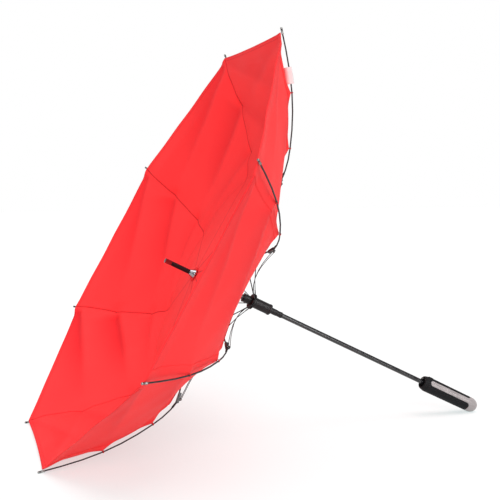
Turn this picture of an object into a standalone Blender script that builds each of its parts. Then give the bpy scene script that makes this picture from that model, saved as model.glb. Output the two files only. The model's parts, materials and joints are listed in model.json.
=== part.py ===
"""Automatic stick umbrella with eight ribs, blown inside out and lying on the floor.

It rests on two rib tips and on the end of its handle. Every piece is modelled about the
shaft: +Z runs along the shaft to the ferrule, +X points up from it, and zero is the base
of the ferrule cone. One empty then lays the whole umbrella down. Each rib has a spoke
empty, and each gore has one halfway between its ribs. Metres.
"""

import math

import bmesh
import bpy
from mathutils import Matrix, Vector

RIBS = 8
FIT_GAP = 0.0003
OVERRUN = 0.004

# The ribs, in the plane of one rib: distance from the shaft's axis, then height on it
PIVOT_RADIUS, PIVOT_HEIGHT = 0.014, -0.010
CLIP_RADIUS, CLIP_HEIGHT = 0.2619, -0.0535
# Each span of the outer rod: how far it goes out and up from the point before
INNER_TIE_OUT, INNER_TIE_UP = 0.0676, 0.0186
OUTER_TIE_OUT, OUTER_TIE_UP = 0.0982, 0.0555
TIP_OUT, TIP_UP = 0.0973, 0.0834
ROD_RADIUS = 0.0015
RIB_EYE_RADIUS = 0.0024
RIB_EYE_HOLE_RADIUS = 0.0011
EYE_THICKNESS, TONGUE_THICKNESS, TONGUE_HEIGHT = 0.002, 0.0017, 0.0030
INNER_TONGUE_LENGTH, OUTER_TONGUE_LENGTH = 0.009, 0.006
RIB_SOCKET_RADIUS, RIB_SOCKET_LENGTH = 0.0021, 0.012
INNER_RIB_BOW = 0.0056
ROD_SLOPE_AT_CLIP, ROD_SLOPE_AT_TIP = math.radians(2), math.radians(44)
TIP_CAP_RADIUS, TIP_CAP_LENGTH = 0.0022, 0.013
# How much further than rib 1 each rib's outer rod is bent over, by its load on the floor
OUTER_BENDS = [math.radians(a) for a in (0, 1.6, 4.6, 12, 12, 4.6, 1.6, 0)]

# The clip that joins the two rods and holds the stretcher's wire
CLIP_WIDTH, CLIP_BLOCK_LENGTH, CLIP_BLOCK_HEIGHT = 0.0052, 0.013, 0.0056
CLIP_EAR_LENGTH, CLIP_EAR_GAP = 0.004, 0.0026
LUG_BACK, LUG_DROP, LUG_RADIUS = 0.004, 0.0048, 0.0021

# The stretchers
RUNNER_PIVOT_RADIUS, RUNNER_PIVOT_HEIGHT = 0.0155, -0.139
STRETCHER_WIRE_RADIUS = 0.0007
STRETCHER_SLOPE_AT_RUNNER = math.radians(16.5)
STRETCHER_SLOPE_AT_CLIP = math.radians(11)
STRETCHER_EYE_RADIUS, STRETCHER_ROOT_LENGTH = 0.0022, 0.011
STRETCHER_SPREAD_LENGTH = 0.190

# The shaft and the spring drive inside it
SHAFT_RADIUS, SHAFT_WALL = 0.0052, 0.0007
SHAFT_TOP, SHAFT_BOTTOM = 0.006, -0.700
DRIVE_SLOT_WIDTH, DRIVE_SLOT_MARGIN = 0.0024, 0.004
RUNNER_TRAVEL = 0.3735
DRIVE_PIN_RADIUS, DRIVE_PIN_DROP = 0.0009, 0.021
PLUNGER_LENGTH = 0.012
PLUG_LENGTH = 0.010
SPRING_WIRE_RADIUS, SPRING_TURNS = 0.0005, 26

# The crown
CROWN_RADIUS, CROWN_TOP, CROWN_BOTTOM = 0.0165, -0.0034, -0.0165
CROWN_CHAMFER = 0.002
CROWN_SLOT_WIDTH, CROWN_SLOT_FLOOR = 0.0027, 0.0100
TIE_WIRE_RADIUS = 0.0006

# The ferrule
CONE_BASE_RADIUS, CONE_TIP_RADIUS, CONE_HEIGHT = 0.0099, 0.0053, 0.0115
CONE_LIP = 0.0009
SPIGOT_RADIUS = 0.0030
FERRULE_RADIUS, FERRULE_TUBE_LENGTH = 0.0047, 0.042
FERRULE_CAP_RADIUS, FERRULE_CAP_LENGTH, FERRULE_CAP_ROUND = 0.0050, 0.0148, 0.0008
ROSETTE_RADIUS, ROSETTE_THICKNESS = 0.0150, 0.0008

# The runner
SLEEVE_RADIUS, SLEEVE_BOTTOM, SLEEVE_ROUND = 0.0114, -0.185, 0.0008
SLEEVE_FOOT_RADIUS, SLEEVE_FOOT_HEIGHT = 0.0120, 0.005
FORK_RADIUS, FORK_ABOVE, FORK_BELOW = 0.0170, 0.0030, 0.0045
COLLAR_RADIUS, COLLAR_LENGTH = 0.0090, 0.018
COLLAR_RIM_RADIUS, COLLAR_RIM_WIDTH = 0.0096, 0.0016
FORK_SLOT_WIDTH, FORK_SLOT_FLOOR = 0.0027, 0.0127
NECK_RADIUS, NECK_BOTTOM, NECK_TAPER = 0.0067, -0.200, 0.003
NECK_END_RADIUS, NECK_END_BOTTOM = 0.0062, -0.214
NECK_COLLAR_RADIUS, NECK_COLLAR_LENGTH = 0.0068, 0.0025

# The handle
HANDLE_FRONT, HANDLE_END = -0.588, -0.741
MOUTH_RIM_RADIUS, MOUTH_WALL, MOUTH_FLARE = 0.0132, 0.0016, 0.005
HANDLE_SHOULDER_RADIUS, HANDLE_SHOULDER_LENGTH = 0.0174, 0.011
HANDLE_TAIL_RADIUS, HANDLE_DOME_LENGTH = 0.0166, 0.019
MOUTH_RADIUS, MOUTH_DEPTH = 0.0108, 0.027
TRIM_THICKNESS, TRIM_FRONT, TRIM_CAP_FRONT = 0.0020, -0.6015, -0.7135
TRIM_ARM_WIDTH, TRIM_ARM_ANGLE = 0.0118, math.radians(65)
TRIM_CORNER_RADIUS, TRIM_CORNER_DIP, TRIM_ROOT_SHARE = 0.0080, 0.0004, 0.85

# The release
BUTTON_CENTRE, BUTTON_LENGTH, BUTTON_WIDTH = -0.6045, 0.0120, 0.0070
BUTTON_TOP, BUTTON_SEAT, BUTTON_ROUND = 0.0182, 0.0118, 0.0012
BUTTON_STEM_HEIGHT, BUTTON_STEM_RADIUS = -0.6065, 0.0015
CATCH_HINGE_HEIGHT, CATCH_HINGE_RADIUS = -0.594, 0.0090
CATCH_THICKNESS, CATCH_WIDTH = 0.0014, 0.0040
CATCH_NOSE_THICKNESS, CATCH_TAIL_LENGTH = 0.0012, 0.0140
CATCH_PIN_RADIUS, CATCH_PIN_LENGTH = 0.0006, 0.0090
CATCH_HUB_RADIUS = 0.0015
CATCH_SPRING_RADIUS, CATCH_SPRING_WIRE, CATCH_SPRING_TURNS = 0.0013, 0.0002, 3

# The canopy
CLOTH = 0.0008
SEAM_GAP = 0.0010
TIE_OFFSET = 0.0028
TIP_OFFSET, TIP_BACK = 0.0036, 0.0090
FOLD_RISE = 0.0120
CANOPY_HOLE_RADIUS, CANOPY_TOP = 0.0072, -0.0020
CANOPY_SEAT_RADIUS = 0.018
FOLD_BOW, RIM_BOW, FOLD_DEPTH = 0.009, 0.003, 0.004
FOLD_LEAN = math.radians(30)
FOLD_WAVES = 3
INNER_ROWS, INNER_COLUMNS = 5, 4
OUTER_ROWS, OUTER_COLUMNS = 7, 8

# The care label, sewn into the seam and laid over the rod of rib 1
LABEL_LENGTH, LABEL_THICKNESS, LABEL_OVER_ROD = 0.033, 0.0005, 0.0035
LABEL_PLACE_SHARE = 0.29

HALF_SPOKE = math.pi / RIBS
UP = Vector((0, 0, 1))


def empty_scene():
    for obj in list(bpy.data.objects):
        bpy.data.objects.remove(obj, do_unlink=True)


def new_collection(name):
    collection = bpy.data.collections.new(name)
    bpy.context.scene.collection.children.link(collection)
    return collection


def new_material(name, colour, roughness, metallic=0.0):
    material = bpy.data.materials.new(name)
    material.use_nodes = True
    shader = material.node_tree.nodes["Principled BSDF"]
    shader.inputs["Base Color"].default_value = (*colour, 1)
    shader.inputs["Roughness"].default_value = roughness
    shader.inputs["Metallic"].default_value = metallic
    return material


def new_object(name, data, collection, material=None, parent=None):
    obj = bpy.data.objects.new(name, data)
    collection.objects.link(obj)
    if material and not data.materials:
        data.materials.append(material)
    obj.parent = parent
    return obj


def new_empty(name, collection, parent, turn):
    empty = new_object(name, None, collection, parent=parent)
    empty.rotation_euler.z = turn
    return empty


def mesh_from(fill):
    """A mesh that fill(bm) makes in a bmesh."""
    bm = bmesh.new()
    fill(bm)
    bmesh.ops.recalc_face_normals(bm, faces=bm.faces)
    mesh = bpy.data.meshes.new("mesh")
    bm.to_mesh(mesh)
    bm.free()
    return mesh


def box_mesh(low, high, turn=None):
    """A box between two corners, turned about the rib plane's normal."""
    size = Vector(high) - Vector(low)
    matrix = (turn or Matrix()) @ Matrix.Translation((Vector(low) + Vector(high)) / 2)
    matrix = matrix @ Matrix.Diagonal((*size, 1))
    return mesh_from(lambda bm: bmesh.ops.create_cube(bm, size=1, matrix=matrix))


def rod_mesh(start, end, radius, sides=12):
    """A straight rod between two points."""
    start, end = Vector(start), Vector(end)
    turn = UP.rotation_difference(end - start).to_matrix().to_4x4()
    matrix = Matrix.Translation((start + end) / 2) @ turn
    sizes = {"radius1": radius, "radius2": radius, "depth": (end - start).length}
    return mesh_from(
        lambda bm: bmesh.ops.create_cone(bm, cap_ends=True, segments=sides, matrix=matrix, **sizes)
    )


def evaluated_mesh(obj):
    bpy.context.view_layer.update()
    graph = bpy.context.evaluated_depsgraph_get()
    return bpy.data.meshes.new_from_object(obj.evaluated_get(graph))


def tube_mesh(points, radius, resolution=1, cyclic=False):
    """A tube along points, made by a bevelled curve and turned into a closed mesh."""
    curve = bpy.data.curves.new("path", "CURVE")
    curve.dimensions = "3D"
    curve.bevel_depth = radius
    curve.bevel_resolution = resolution
    curve.use_fill_caps = True
    spline = curve.splines.new("POLY")
    spline.points.add(len(points) - 1)
    spline.use_cyclic_u = cyclic
    for index, point in enumerate(points):
        spline.points[index].co = (*point, 1)
    path = new_object("path", curve, bpy.context.scene.collection)
    mesh = evaluated_mesh(path)
    bpy.data.objects.remove(path)
    return facing_out(mesh, radius / 50)


def turned_mesh(outline, steps, closed=True):
    """A turned solid. Outline runs down the outer side; closed ends in a bore, open ends on the axis."""
    mesh = bpy.data.meshes.new("profile")
    links = [(i, i + 1) for i in range(len(outline) - 1)]
    if closed:
        links.append((len(outline) - 1, 0))
    mesh.from_pydata([(r, 0, z) for r, z in outline], links, [])
    turned = new_object("profile", mesh, bpy.context.scene.collection)
    screw = turned.modifiers.new("turn", "SCREW")
    screw.steps = screw.render_steps = steps
    screw.use_merge_vertices = True
    screw.merge_threshold = FIT_GAP / 20
    made = evaluated_mesh(turned)
    bpy.data.objects.remove(turned)
    return facing_out(made)


def facing_out(mesh, weld=0.0):
    """mesh with its faces pointing out, and points nearer than weld made one."""
    bm = bmesh.new()
    bm.from_mesh(mesh)
    if weld:
        bmesh.ops.remove_doubles(bm, verts=bm.verts, dist=weld)
    bmesh.ops.recalc_face_normals(bm, faces=bm.faces)
    bm.to_mesh(mesh)
    bm.free()
    return mesh


def combined(mesh, others, operation):
    """mesh with each of the other meshes joined to it, cut from it or kept in common with it."""
    base = new_object("base", mesh, bpy.context.scene.collection)
    tools = [new_object("tool", other, bpy.context.scene.collection) for other in others]
    for tool in tools:
        step = base.modifiers.new(operation, "BOOLEAN")
        step.operation = operation
        step.object = tool
    made = evaluated_mesh(base)
    for obj in (base, *tools):
        bpy.data.objects.remove(obj)
    return made


def joined(mesh, *others):
    return combined(mesh, others, "UNION")


def cut(mesh, *others):
    return combined(mesh, others, "DIFFERENCE")


def moved(mesh, matrix):
    mesh.transform(matrix)
    if matrix.is_negative:
        mesh.flip_normals()
    return mesh


def smoothed(mesh, angle=math.radians(40)):
    mesh.shade_smooth()
    mesh.set_sharp_from_angle(angle=angle)
    return mesh


def in_plane(point, lift=0.0):
    """A point of the rib plane as a vector."""
    return Vector((point[0], lift, point[1]))


def turned_about(point, centre, angle):
    """point of the rib plane turned about centre, towards the ferrule."""
    out, up = point[0] - centre[0], point[1] - centre[1]
    c, s = math.cos(angle), math.sin(angle)
    return centre[0] + c * out - s * up, centre[1] + s * out + c * up


PIVOT = (PIVOT_RADIUS, PIVOT_HEIGHT)
CLIP = (CLIP_RADIUS, CLIP_HEIGHT)
INNER_TIE = (CLIP_RADIUS + INNER_TIE_OUT, CLIP_HEIGHT + INNER_TIE_UP)
OUTER_TIE = (INNER_TIE[0] + OUTER_TIE_OUT, INNER_TIE[1] + OUTER_TIE_UP)
TIP = (OUTER_TIE[0] + TIP_OUT, OUTER_TIE[1] + TIP_UP)
LUG = (CLIP_RADIUS - LUG_BACK, CLIP_HEIGHT - LUG_DROP)
RUNNER_PIVOT = (RUNNER_PIVOT_RADIUS, RUNNER_PIVOT_HEIGHT)
RUNNER_WIRE_RADIUS = RUNNER_PIVOT_RADIUS - STRETCHER_EYE_RADIUS - FIT_GAP - TIE_WIRE_RADIUS


def less(point, origin):
    return point[0] - origin[0], point[1] - origin[1]


def hermite(start, end, leave, arrive, steps):
    """Points of the rib plane on a smooth arc from start to end with the given slopes."""
    reach = math.dist(start, end)
    made = []
    for step in range(steps + 1):
        t = step / steps
        a = 2 * t**3 - 3 * t**2 + 1
        b = t**3 - 2 * t**2 + t
        c = -2 * t**3 + 3 * t**2
        d = t**3 - t**2
        made.append(
            tuple(
                a * start[i] + c * end[i] + reach * (b * leave[i] + d * arrive[i])
                for i in (0, 1)
            )
        )
    return made


def heading(angle):
    return math.cos(angle), math.sin(angle)


def slope(start, end):
    return math.atan2(end[1] - start[1], end[0] - start[0])


def outer_rod_line(steps=3):
    """The outer rod from the clip to the tip, through both ties, from the clip's hinge."""
    knots = [less(p, CLIP) for p in (CLIP, INNER_TIE, OUTER_TIE, TIP)]
    slopes = [
        ROD_SLOPE_AT_CLIP,
        slope(CLIP, OUTER_TIE),
        slope(INNER_TIE, TIP),
        ROD_SLOPE_AT_TIP,
    ]
    line = [knots[0]]
    for i in range(len(knots) - 1):
        part = hermite(knots[i], knots[i + 1], heading(slopes[i]), heading(slopes[i + 1]), steps)
        line += part[1:]
    return line


def inner_rod_line(steps=5):
    """The inner rod from the crown's hinge to the clip: a shallow bow towards the handle."""
    end = less(CLIP, PIVOT)
    angle = math.atan2(end[1], end[0])
    line = []
    for step in range(steps + 1):
        t = step / steps
        bow = 4 * t * (1 - t) * INNER_RIB_BOW
        line.append((t * end[0] + bow * math.sin(angle), t * end[1] - bow * math.cos(angle)))
    return line


def cut_line(line, start, end=0.0):
    """line without the first start and last end metres of its length."""
    made = []
    for ends, length in ((line, start), (None, end)):
        points = list(line) if ends is not None else list(reversed(made))
        left = length
        while left > 0:
            step = math.dist(points[0], points[1])
            if step > left:
                share = left / step
                points[0] = tuple(points[0][i] + share * (points[1][i] - points[0][i]) for i in (0, 1))
                break
            left -= step
            points.pop(0)
        made = points
    return list(reversed(made))


def eye_mesh(centre, radius, width, sides=10):
    """A disc across the rib plane."""
    return rod_mesh(in_plane(centre, -width / 2), in_plane(centre, width / 2), radius, sides)


def tongue_mesh(length, angle):
    """A flat tongue from the hinge outwards."""
    half = TONGUE_HEIGHT / 2
    turn = Matrix.Rotation(-angle, 4, "Y")
    return box_mesh((0, -TONGUE_THICKNESS / 2, -half), (length, TONGUE_THICKNESS / 2, half), turn)


def socket_mesh(line, start):
    """The short sleeve in which a rod sits, from start along the line."""
    part = cut_line(line, start)
    direction = Vector(in_plane(less(part[1], part[0]))).normalized()
    first = in_plane(part[0])
    return rod_mesh(first, first + direction * RIB_SOCKET_LENGTH, RIB_SOCKET_RADIUS, 8)


def clip_mesh():
    """The plastic clip at the end of the inner rod: a block, two ears and a lug below."""
    centre, lug = less(CLIP, PIVOT), less(LUG, PIVOT)
    at = Matrix.Translation(in_plane(centre))
    half_width, half_height = CLIP_WIDTH / 2, CLIP_BLOCK_HEIGHT / 2
    back = -CLIP_EAR_LENGTH
    block = box_mesh(
        (back - CLIP_BLOCK_LENGTH, -half_width, -half_height),
        (CLIP_EAR_LENGTH, half_width, half_height),
    )
    gap = box_mesh(
        (back, -CLIP_EAR_GAP / 2, -CLIP_BLOCK_HEIGHT),
        (CLIP_EAR_LENGTH + OVERRUN, CLIP_EAR_GAP / 2, CLIP_BLOCK_HEIGHT),
    )
    web = box_mesh(
        (lug[0] - LUG_RADIUS, -half_width, lug[1]),
        (centre[0] + back, half_width, centre[1]),
    )
    disc = eye_mesh(lug, LUG_RADIUS, CLIP_WIDTH)
    return joined(moved(cut(block, gap), at), web, disc)


def inner_rib_mesh():
    """Eye, tongue, sleeve, rod and clip in one, from the crown's hinge."""
    line = inner_rod_line()
    start_slope = slope(line[0], line[1])
    middle = cut_line(line, INNER_TONGUE_LENGTH, CLIP_EAR_LENGTH * 2)
    rod = tube_mesh([in_plane(p) for p in middle], ROD_RADIUS)
    eye = eye_mesh((0, 0), RIB_EYE_RADIUS, EYE_THICKNESS)
    tongue = tongue_mesh(INNER_TONGUE_LENGTH + FIT_GAP, start_slope)
    sleeve = socket_mesh(line, INNER_TONGUE_LENGTH - FIT_GAP)
    solid = joined(eye, tongue, sleeve, rod, clip_mesh())
    wire_hole = eye_mesh((0, 0), RIB_EYE_HOLE_RADIUS, CLIP_WIDTH * 2, 8)
    pin_hole = eye_mesh(less(LUG, PIVOT), STRETCHER_WIRE_RADIUS + FIT_GAP, CLIP_WIDTH * 2, 8)
    return smoothed(cut(solid, wire_hole, pin_hole))


def outer_rib_mesh():
    """Eye, tongue, sleeve, rod and silver tip cap in one, from the clip's hinge."""
    line = outer_rod_line()
    middle = cut_line(line, OUTER_TONGUE_LENGTH, TIP_CAP_LENGTH / 2)
    rod = tube_mesh([in_plane(p) for p in middle], ROD_RADIUS)
    eye = eye_mesh((0, 0), RIB_EYE_RADIUS, EYE_THICKNESS)
    tongue = tongue_mesh(OUTER_TONGUE_LENGTH + FIT_GAP, ROD_SLOPE_AT_CLIP)
    sleeve = socket_mesh(line, OUTER_TONGUE_LENGTH - FIT_GAP)
    return smoothed(joined(eye, tongue, sleeve, rod, tip_cap_mesh(line[-1])))


def tip_cap_mesh(tip):
    """The silver cap: a taper that ends in a ball, turned and set along the end of the rod."""
    ball = -TIP_CAP_RADIUS
    turns = [math.pi / 2 * (1 - step / 4) for step in range(4)]
    outline = [(TIP_CAP_RADIUS * math.cos(t), ball + TIP_CAP_RADIUS * math.sin(t)) for t in turns]
    outline[0] = (0, 0)
    outline += [
        (TIP_CAP_RADIUS, ball),
        (ROD_RADIUS + 2 * FIT_GAP, ball - TIP_CAP_RADIUS),
        (ROD_RADIUS + FIT_GAP, -TIP_CAP_LENGTH),
        (0, -TIP_CAP_LENGTH),
    ]
    turn = Matrix.Rotation(math.pi / 2 - ROD_SLOPE_AT_TIP, 4, "Y")
    return moved(turned_mesh(outline, 10, closed=False), Matrix.Translation(in_plane(tip)) @ turn)


def stretcher_line(steps=7):
    """The stretcher from the clip's lug to the runner's hinge, bowed towards the ferrule."""
    end = less(RUNNER_PIVOT, LUG)
    chord = slope((0, 0), end)
    leave = heading(chord - STRETCHER_SLOPE_AT_CLIP)
    arrive = heading(chord + STRETCHER_SLOPE_AT_RUNNER)
    return hermite((0, 0), end, leave, arrive, steps)


def leg_offset(length):
    """How far a leg of the stretcher is from the rib plane, at a length from its root."""
    spread = CLIP_WIDTH / 2 + FIT_GAP + STRETCHER_WIRE_RADIUS
    close = TONGUE_THICKNESS / 2
    return close + (spread - close) * min(1, length / STRETCHER_SPREAD_LENGTH)


def stretcher_mesh():
    """One bent wire: a pin through the lug, two legs, and a flat eye in the runner's fork."""
    line = stretcher_line()
    legs = cut_line(line, 0.0, STRETCHER_ROOT_LENGTH)
    side = [in_plane(p, leg_offset(math.dist(p, legs[-1]))) for p in legs]
    other = [Vector((p.x, -p.y, p.z)) for p in reversed(side)]
    wire = tube_mesh(side + other, STRETCHER_WIRE_RADIUS, 0, cyclic=True)
    end = line[-1]
    root_angle = slope(legs[-1], end)
    turn = Matrix.Translation(in_plane(end)) @ Matrix.Rotation(-root_angle, 4, "Y")
    reach = STRETCHER_ROOT_LENGTH + STRETCHER_WIRE_RADIUS
    root = box_mesh(
        (-reach, -TONGUE_THICKNESS / 2, -STRETCHER_EYE_RADIUS / 2),
        (0, TONGUE_THICKNESS / 2, STRETCHER_EYE_RADIUS / 2),
        turn,
    )
    eye = eye_mesh(end, STRETCHER_EYE_RADIUS, EYE_THICKNESS)
    return smoothed(joined(wire, root, eye))


def spoke_slots(width, floor, outside, low, high):
    """Radial slots, one for each rib."""

    def fill(bm):
        for rib in range(RIBS):
            turn = Matrix.Rotation(rib_angle(rib), 4, "Z")
            centre = Vector(((floor + outside) / 2, 0, (low + high) / 2))
            size = (outside - floor, width, high - low)
            matrix = turn @ Matrix.Translation(centre) @ Matrix.Diagonal((*size, 1))
            bmesh.ops.create_cube(bm, size=1, matrix=matrix)

    return mesh_from(fill)


def rib_angle(rib):
    return -HALF_SPOKE * (2 * rib + 1)


def gore_angle(gore):
    return -HALF_SPOKE * (2 * gore + 2)


def ring_mesh(radius, height, wire, steps=32):
    points = [
        (radius * math.cos(turn), radius * math.sin(turn), height)
        for turn in (2 * math.pi * step / steps for step in range(steps))
    ]
    return smoothed(tube_mesh(points, wire, 0, cyclic=True))


def crown_mesh():
    """A turned notch with a groove for its wire, and a slot for each rib."""
    half_groove = TIE_WIRE_RADIUS + FIT_GAP
    groove_floor = PIVOT_RADIUS - half_groove
    bore = SHAFT_RADIUS + FIT_GAP
    outline = [
        (CROWN_RADIUS - CROWN_CHAMFER, CROWN_TOP),
        (CROWN_RADIUS, CROWN_TOP - CROWN_CHAMFER),
        (CROWN_RADIUS, PIVOT_HEIGHT + half_groove),
        (groove_floor, PIVOT_HEIGHT + half_groove),
        (groove_floor, PIVOT_HEIGHT - half_groove),
        (CROWN_RADIUS, PIVOT_HEIGHT - half_groove),
        (CROWN_RADIUS, CROWN_BOTTOM + CROWN_CHAMFER),
        (CROWN_RADIUS - CROWN_CHAMFER, CROWN_BOTTOM),
        (bore, CROWN_BOTTOM),
        (bore, CROWN_TOP),
    ]
    top = PIVOT_HEIGHT + RIB_EYE_RADIUS + FIT_GAP
    slots = spoke_slots(
        CROWN_SLOT_WIDTH, CROWN_SLOT_FLOOR, CROWN_RADIUS + OVERRUN, CROWN_BOTTOM - OVERRUN, top
    )
    return smoothed(cut(turned_mesh(outline, 24), slots))


def runner_mesh():
    """Sleeve with a slotted fork ring, a collar over it, a foot, and a neck that enters the handle."""
    bore = SHAFT_RADIUS + FIT_GAP
    half_groove = TIE_WIRE_RADIUS + FIT_GAP
    ring_top = RUNNER_PIVOT_HEIGHT + FORK_ABOVE
    ring_bottom = RUNNER_PIVOT_HEIGHT - FORK_BELOW
    foot_top = SLEEVE_BOTTOM + SLEEVE_FOOT_HEIGHT
    collar_top = NECK_END_BOTTOM + NECK_COLLAR_LENGTH
    wire_floor = RUNNER_WIRE_RADIUS - half_groove
    rim_top = ring_top + COLLAR_LENGTH
    outline = [
        (COLLAR_RIM_RADIUS, rim_top),
        (COLLAR_RIM_RADIUS, rim_top - COLLAR_RIM_WIDTH),
        (COLLAR_RADIUS, rim_top - COLLAR_RIM_WIDTH - SLEEVE_ROUND),
        (COLLAR_RADIUS, ring_top),
        (FORK_RADIUS - SLEEVE_ROUND, ring_top),
        (FORK_RADIUS, ring_top - SLEEVE_ROUND),
        (FORK_RADIUS, RUNNER_PIVOT_HEIGHT + half_groove),
        (wire_floor, RUNNER_PIVOT_HEIGHT + half_groove),
        (wire_floor, RUNNER_PIVOT_HEIGHT - half_groove),
        (FORK_RADIUS, RUNNER_PIVOT_HEIGHT - half_groove),
        (FORK_RADIUS, ring_bottom + SLEEVE_ROUND),
        (SLEEVE_RADIUS, ring_bottom - SLEEVE_ROUND),
        (SLEEVE_RADIUS, foot_top),
        (SLEEVE_FOOT_RADIUS, foot_top - SLEEVE_ROUND),
        (SLEEVE_FOOT_RADIUS, SLEEVE_BOTTOM + SLEEVE_ROUND),
        (SLEEVE_RADIUS, SLEEVE_BOTTOM),
        (NECK_RADIUS, SLEEVE_BOTTOM),
        (NECK_RADIUS, NECK_BOTTOM),
        (NECK_END_RADIUS, NECK_BOTTOM - NECK_TAPER),
        (NECK_END_RADIUS, collar_top),
        (NECK_COLLAR_RADIUS, collar_top),
        (NECK_END_RADIUS, NECK_END_BOTTOM),
        (bore, NECK_END_BOTTOM),
        (bore, rim_top),
    ]
    outside = FORK_RADIUS + OVERRUN
    low, high = ring_bottom - OVERRUN, ring_top + OVERRUN
    slots = spoke_slots(FORK_SLOT_WIDTH, FORK_SLOT_FLOOR, outside, low, high)
    pin_height = RUNNER_PIVOT_HEIGHT - DRIVE_PIN_DROP
    pin_hole = rod_mesh(
        (0, 0, pin_height), (0, SLEEVE_RADIUS + OVERRUN, pin_height), DRIVE_PIN_RADIUS + FIT_GAP
    )
    return smoothed(cut(turned_mesh(outline, 24), slots, pin_hole))


def shaft_mesh():
    """A steel tube with a slot on its far side for the drive pin."""
    inside = SHAFT_RADIUS - SHAFT_WALL
    outline = [
        (SHAFT_RADIUS, SHAFT_TOP),
        (SHAFT_RADIUS, SHAFT_BOTTOM),
        (inside, SHAFT_BOTTOM),
        (inside, SHAFT_TOP),
    ]
    top = RUNNER_PIVOT_HEIGHT - DRIVE_PIN_DROP + DRIVE_SLOT_MARGIN
    bottom = top - RUNNER_TRAVEL - 2 * DRIVE_SLOT_MARGIN
    half = DRIVE_SLOT_WIDTH / 2
    slot = box_mesh((-half, 0, bottom), (half, SHAFT_RADIUS + OVERRUN, top))
    return smoothed(cut(turned_mesh(outline, 20), slot))


def spring_mesh():
    """The opening spring, stretched in the open umbrella from the plug to the plunger."""
    radius = SHAFT_RADIUS - SHAFT_WALL - FIT_GAP - SPRING_WIRE_RADIUS
    low = SHAFT_BOTTOM + PLUG_LENGTH + SPRING_WIRE_RADIUS + FIT_GAP
    high = plunger_bottom() - SPRING_WIRE_RADIUS - FIT_GAP
    per_turn = 6
    count = SPRING_TURNS * per_turn
    points = []
    for step in range(count + 1):
        turn = 2 * math.pi * step / per_turn
        height = low + (high - low) * step / count
        points.append((radius * math.cos(turn), radius * math.sin(turn), height))
    return smoothed(tube_mesh(points, SPRING_WIRE_RADIUS, 0))


def plunger_bottom():
    return RUNNER_PIVOT_HEIGHT - DRIVE_PIN_DROP - PLUNGER_LENGTH / 2


def plunger_mesh():
    radius = SHAFT_RADIUS - SHAFT_WALL - FIT_GAP
    low = plunger_bottom()
    centre = low + PLUNGER_LENGTH / 2
    body = rod_mesh((0, 0, low), (0, 0, low + PLUNGER_LENGTH), radius, 16)
    hole = rod_mesh((0, 0, centre), (0, radius + OVERRUN, centre), DRIVE_PIN_RADIUS + FIT_GAP)
    return smoothed(cut(body, hole))


def dome_outline(radius, bottom, length, steps):
    """A quarter ellipse from the side of a turned end to its tip on the axis."""
    turns = [math.pi / 2 * step / steps for step in range(steps + 1)]
    outline = [(radius * math.cos(t), bottom + length - length * math.sin(t)) for t in turns]
    outline[-1] = (0, bottom)
    return outline


def handle_outline(grow=0.0):
    """The outer line of the handle below its mouth, grown outwards by grow."""
    points = [
        (0, HANDLE_FRONT),
        (MOUTH_RIM_RADIUS + grow, HANDLE_FRONT),
        (MOUTH_RIM_RADIUS + MOUTH_WALL + grow, HANDLE_FRONT - MOUTH_WALL),
        (HANDLE_SHOULDER_RADIUS + grow, HANDLE_FRONT - HANDLE_SHOULDER_LENGTH),
    ]
    dome = dome_outline(HANDLE_TAIL_RADIUS + grow, HANDLE_END - grow, HANDLE_DOME_LENGTH + grow, 7)
    return points + dome


def pill_mesh(width, front, end, low, high, steps=8):
    """A block with round ends between two heights, standing out from the shaft from low to high."""
    half = width / 2
    outline = []
    for centre, side in ((front - half, 1), (end + half, -1)):
        for step in range(steps + 1):
            turn = math.pi * step / steps
            outline.append((side * half * math.cos(turn), centre + side * half * math.sin(turn)))

    def fill(bm):
        rings = [[bm.verts.new((x, y, z)) for y, z in outline] for x in (low, high)]
        for ring in rings:
            bm.faces.new(ring)
        for i in range(len(outline)):
            bm.faces.new((rings[0][i - 1], rings[0][i], rings[1][i], rings[1][i - 1]))

    return mesh_from(fill)


def arm_mesh(grow, reach):
    """A block for one arm of the trim, which meets the end cap in two round inside corners."""
    low, half = MOUTH_RADIUS / 2, TRIM_ARM_WIDTH / 2
    arm = pill_mesh(TRIM_ARM_WIDTH + 2 * grow, TRIM_FRONT + grow, HANDLE_END, low, reach)
    wide = half + TRIM_ROOT_SHARE * TRIM_CORNER_RADIUS
    top = TRIM_CAP_FRONT + TRIM_CORNER_RADIUS
    root = box_mesh((0, -wide, HANDLE_END - OVERRUN), (reach + OVERRUN, wide, top))
    corner_end = TRIM_CAP_FRONT - TRIM_CORNER_DIP + grow
    width = 2 * (TRIM_CORNER_RADIUS - grow)
    corners = [
        moved(
            pill_mesh(width, HANDLE_FRONT, corner_end, -OVERRUN, reach + 2 * OVERRUN),
            Matrix.Translation((0, side * (half + TRIM_CORNER_RADIUS), 0)),
        )
        for side in (-1, 1)
    ]
    return cut(joined(arm, root), *corners)


def trim_mesh(grow=0.0):
    """The grey trim: an end cap with two long arms. Grown by grow, it cuts its seat in the grip."""
    outside = grow and OVERRUN
    inset = TRIM_THICKNESS + grow
    solid = turned_mesh(handle_outline(outside), 28, closed=False)
    core = turned_mesh(handle_outline(-inset), 28, closed=False)
    shell = cut(solid, core)
    reach = HANDLE_SHOULDER_RADIUS + 2 * OVERRUN
    cap = box_mesh((-reach, -reach, HANDLE_END - 2 * OVERRUN), (reach, reach, TRIM_CAP_FRONT + grow))
    turns = [Matrix.Rotation(side * TRIM_ARM_ANGLE, 4, "Z") for side in (-1, 1)]
    arms = [moved(arm_mesh(grow, reach), turn) for turn in turns]
    return smoothed(combined(shell, [joined(cap, *arms)], "INTERSECT"))


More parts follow.
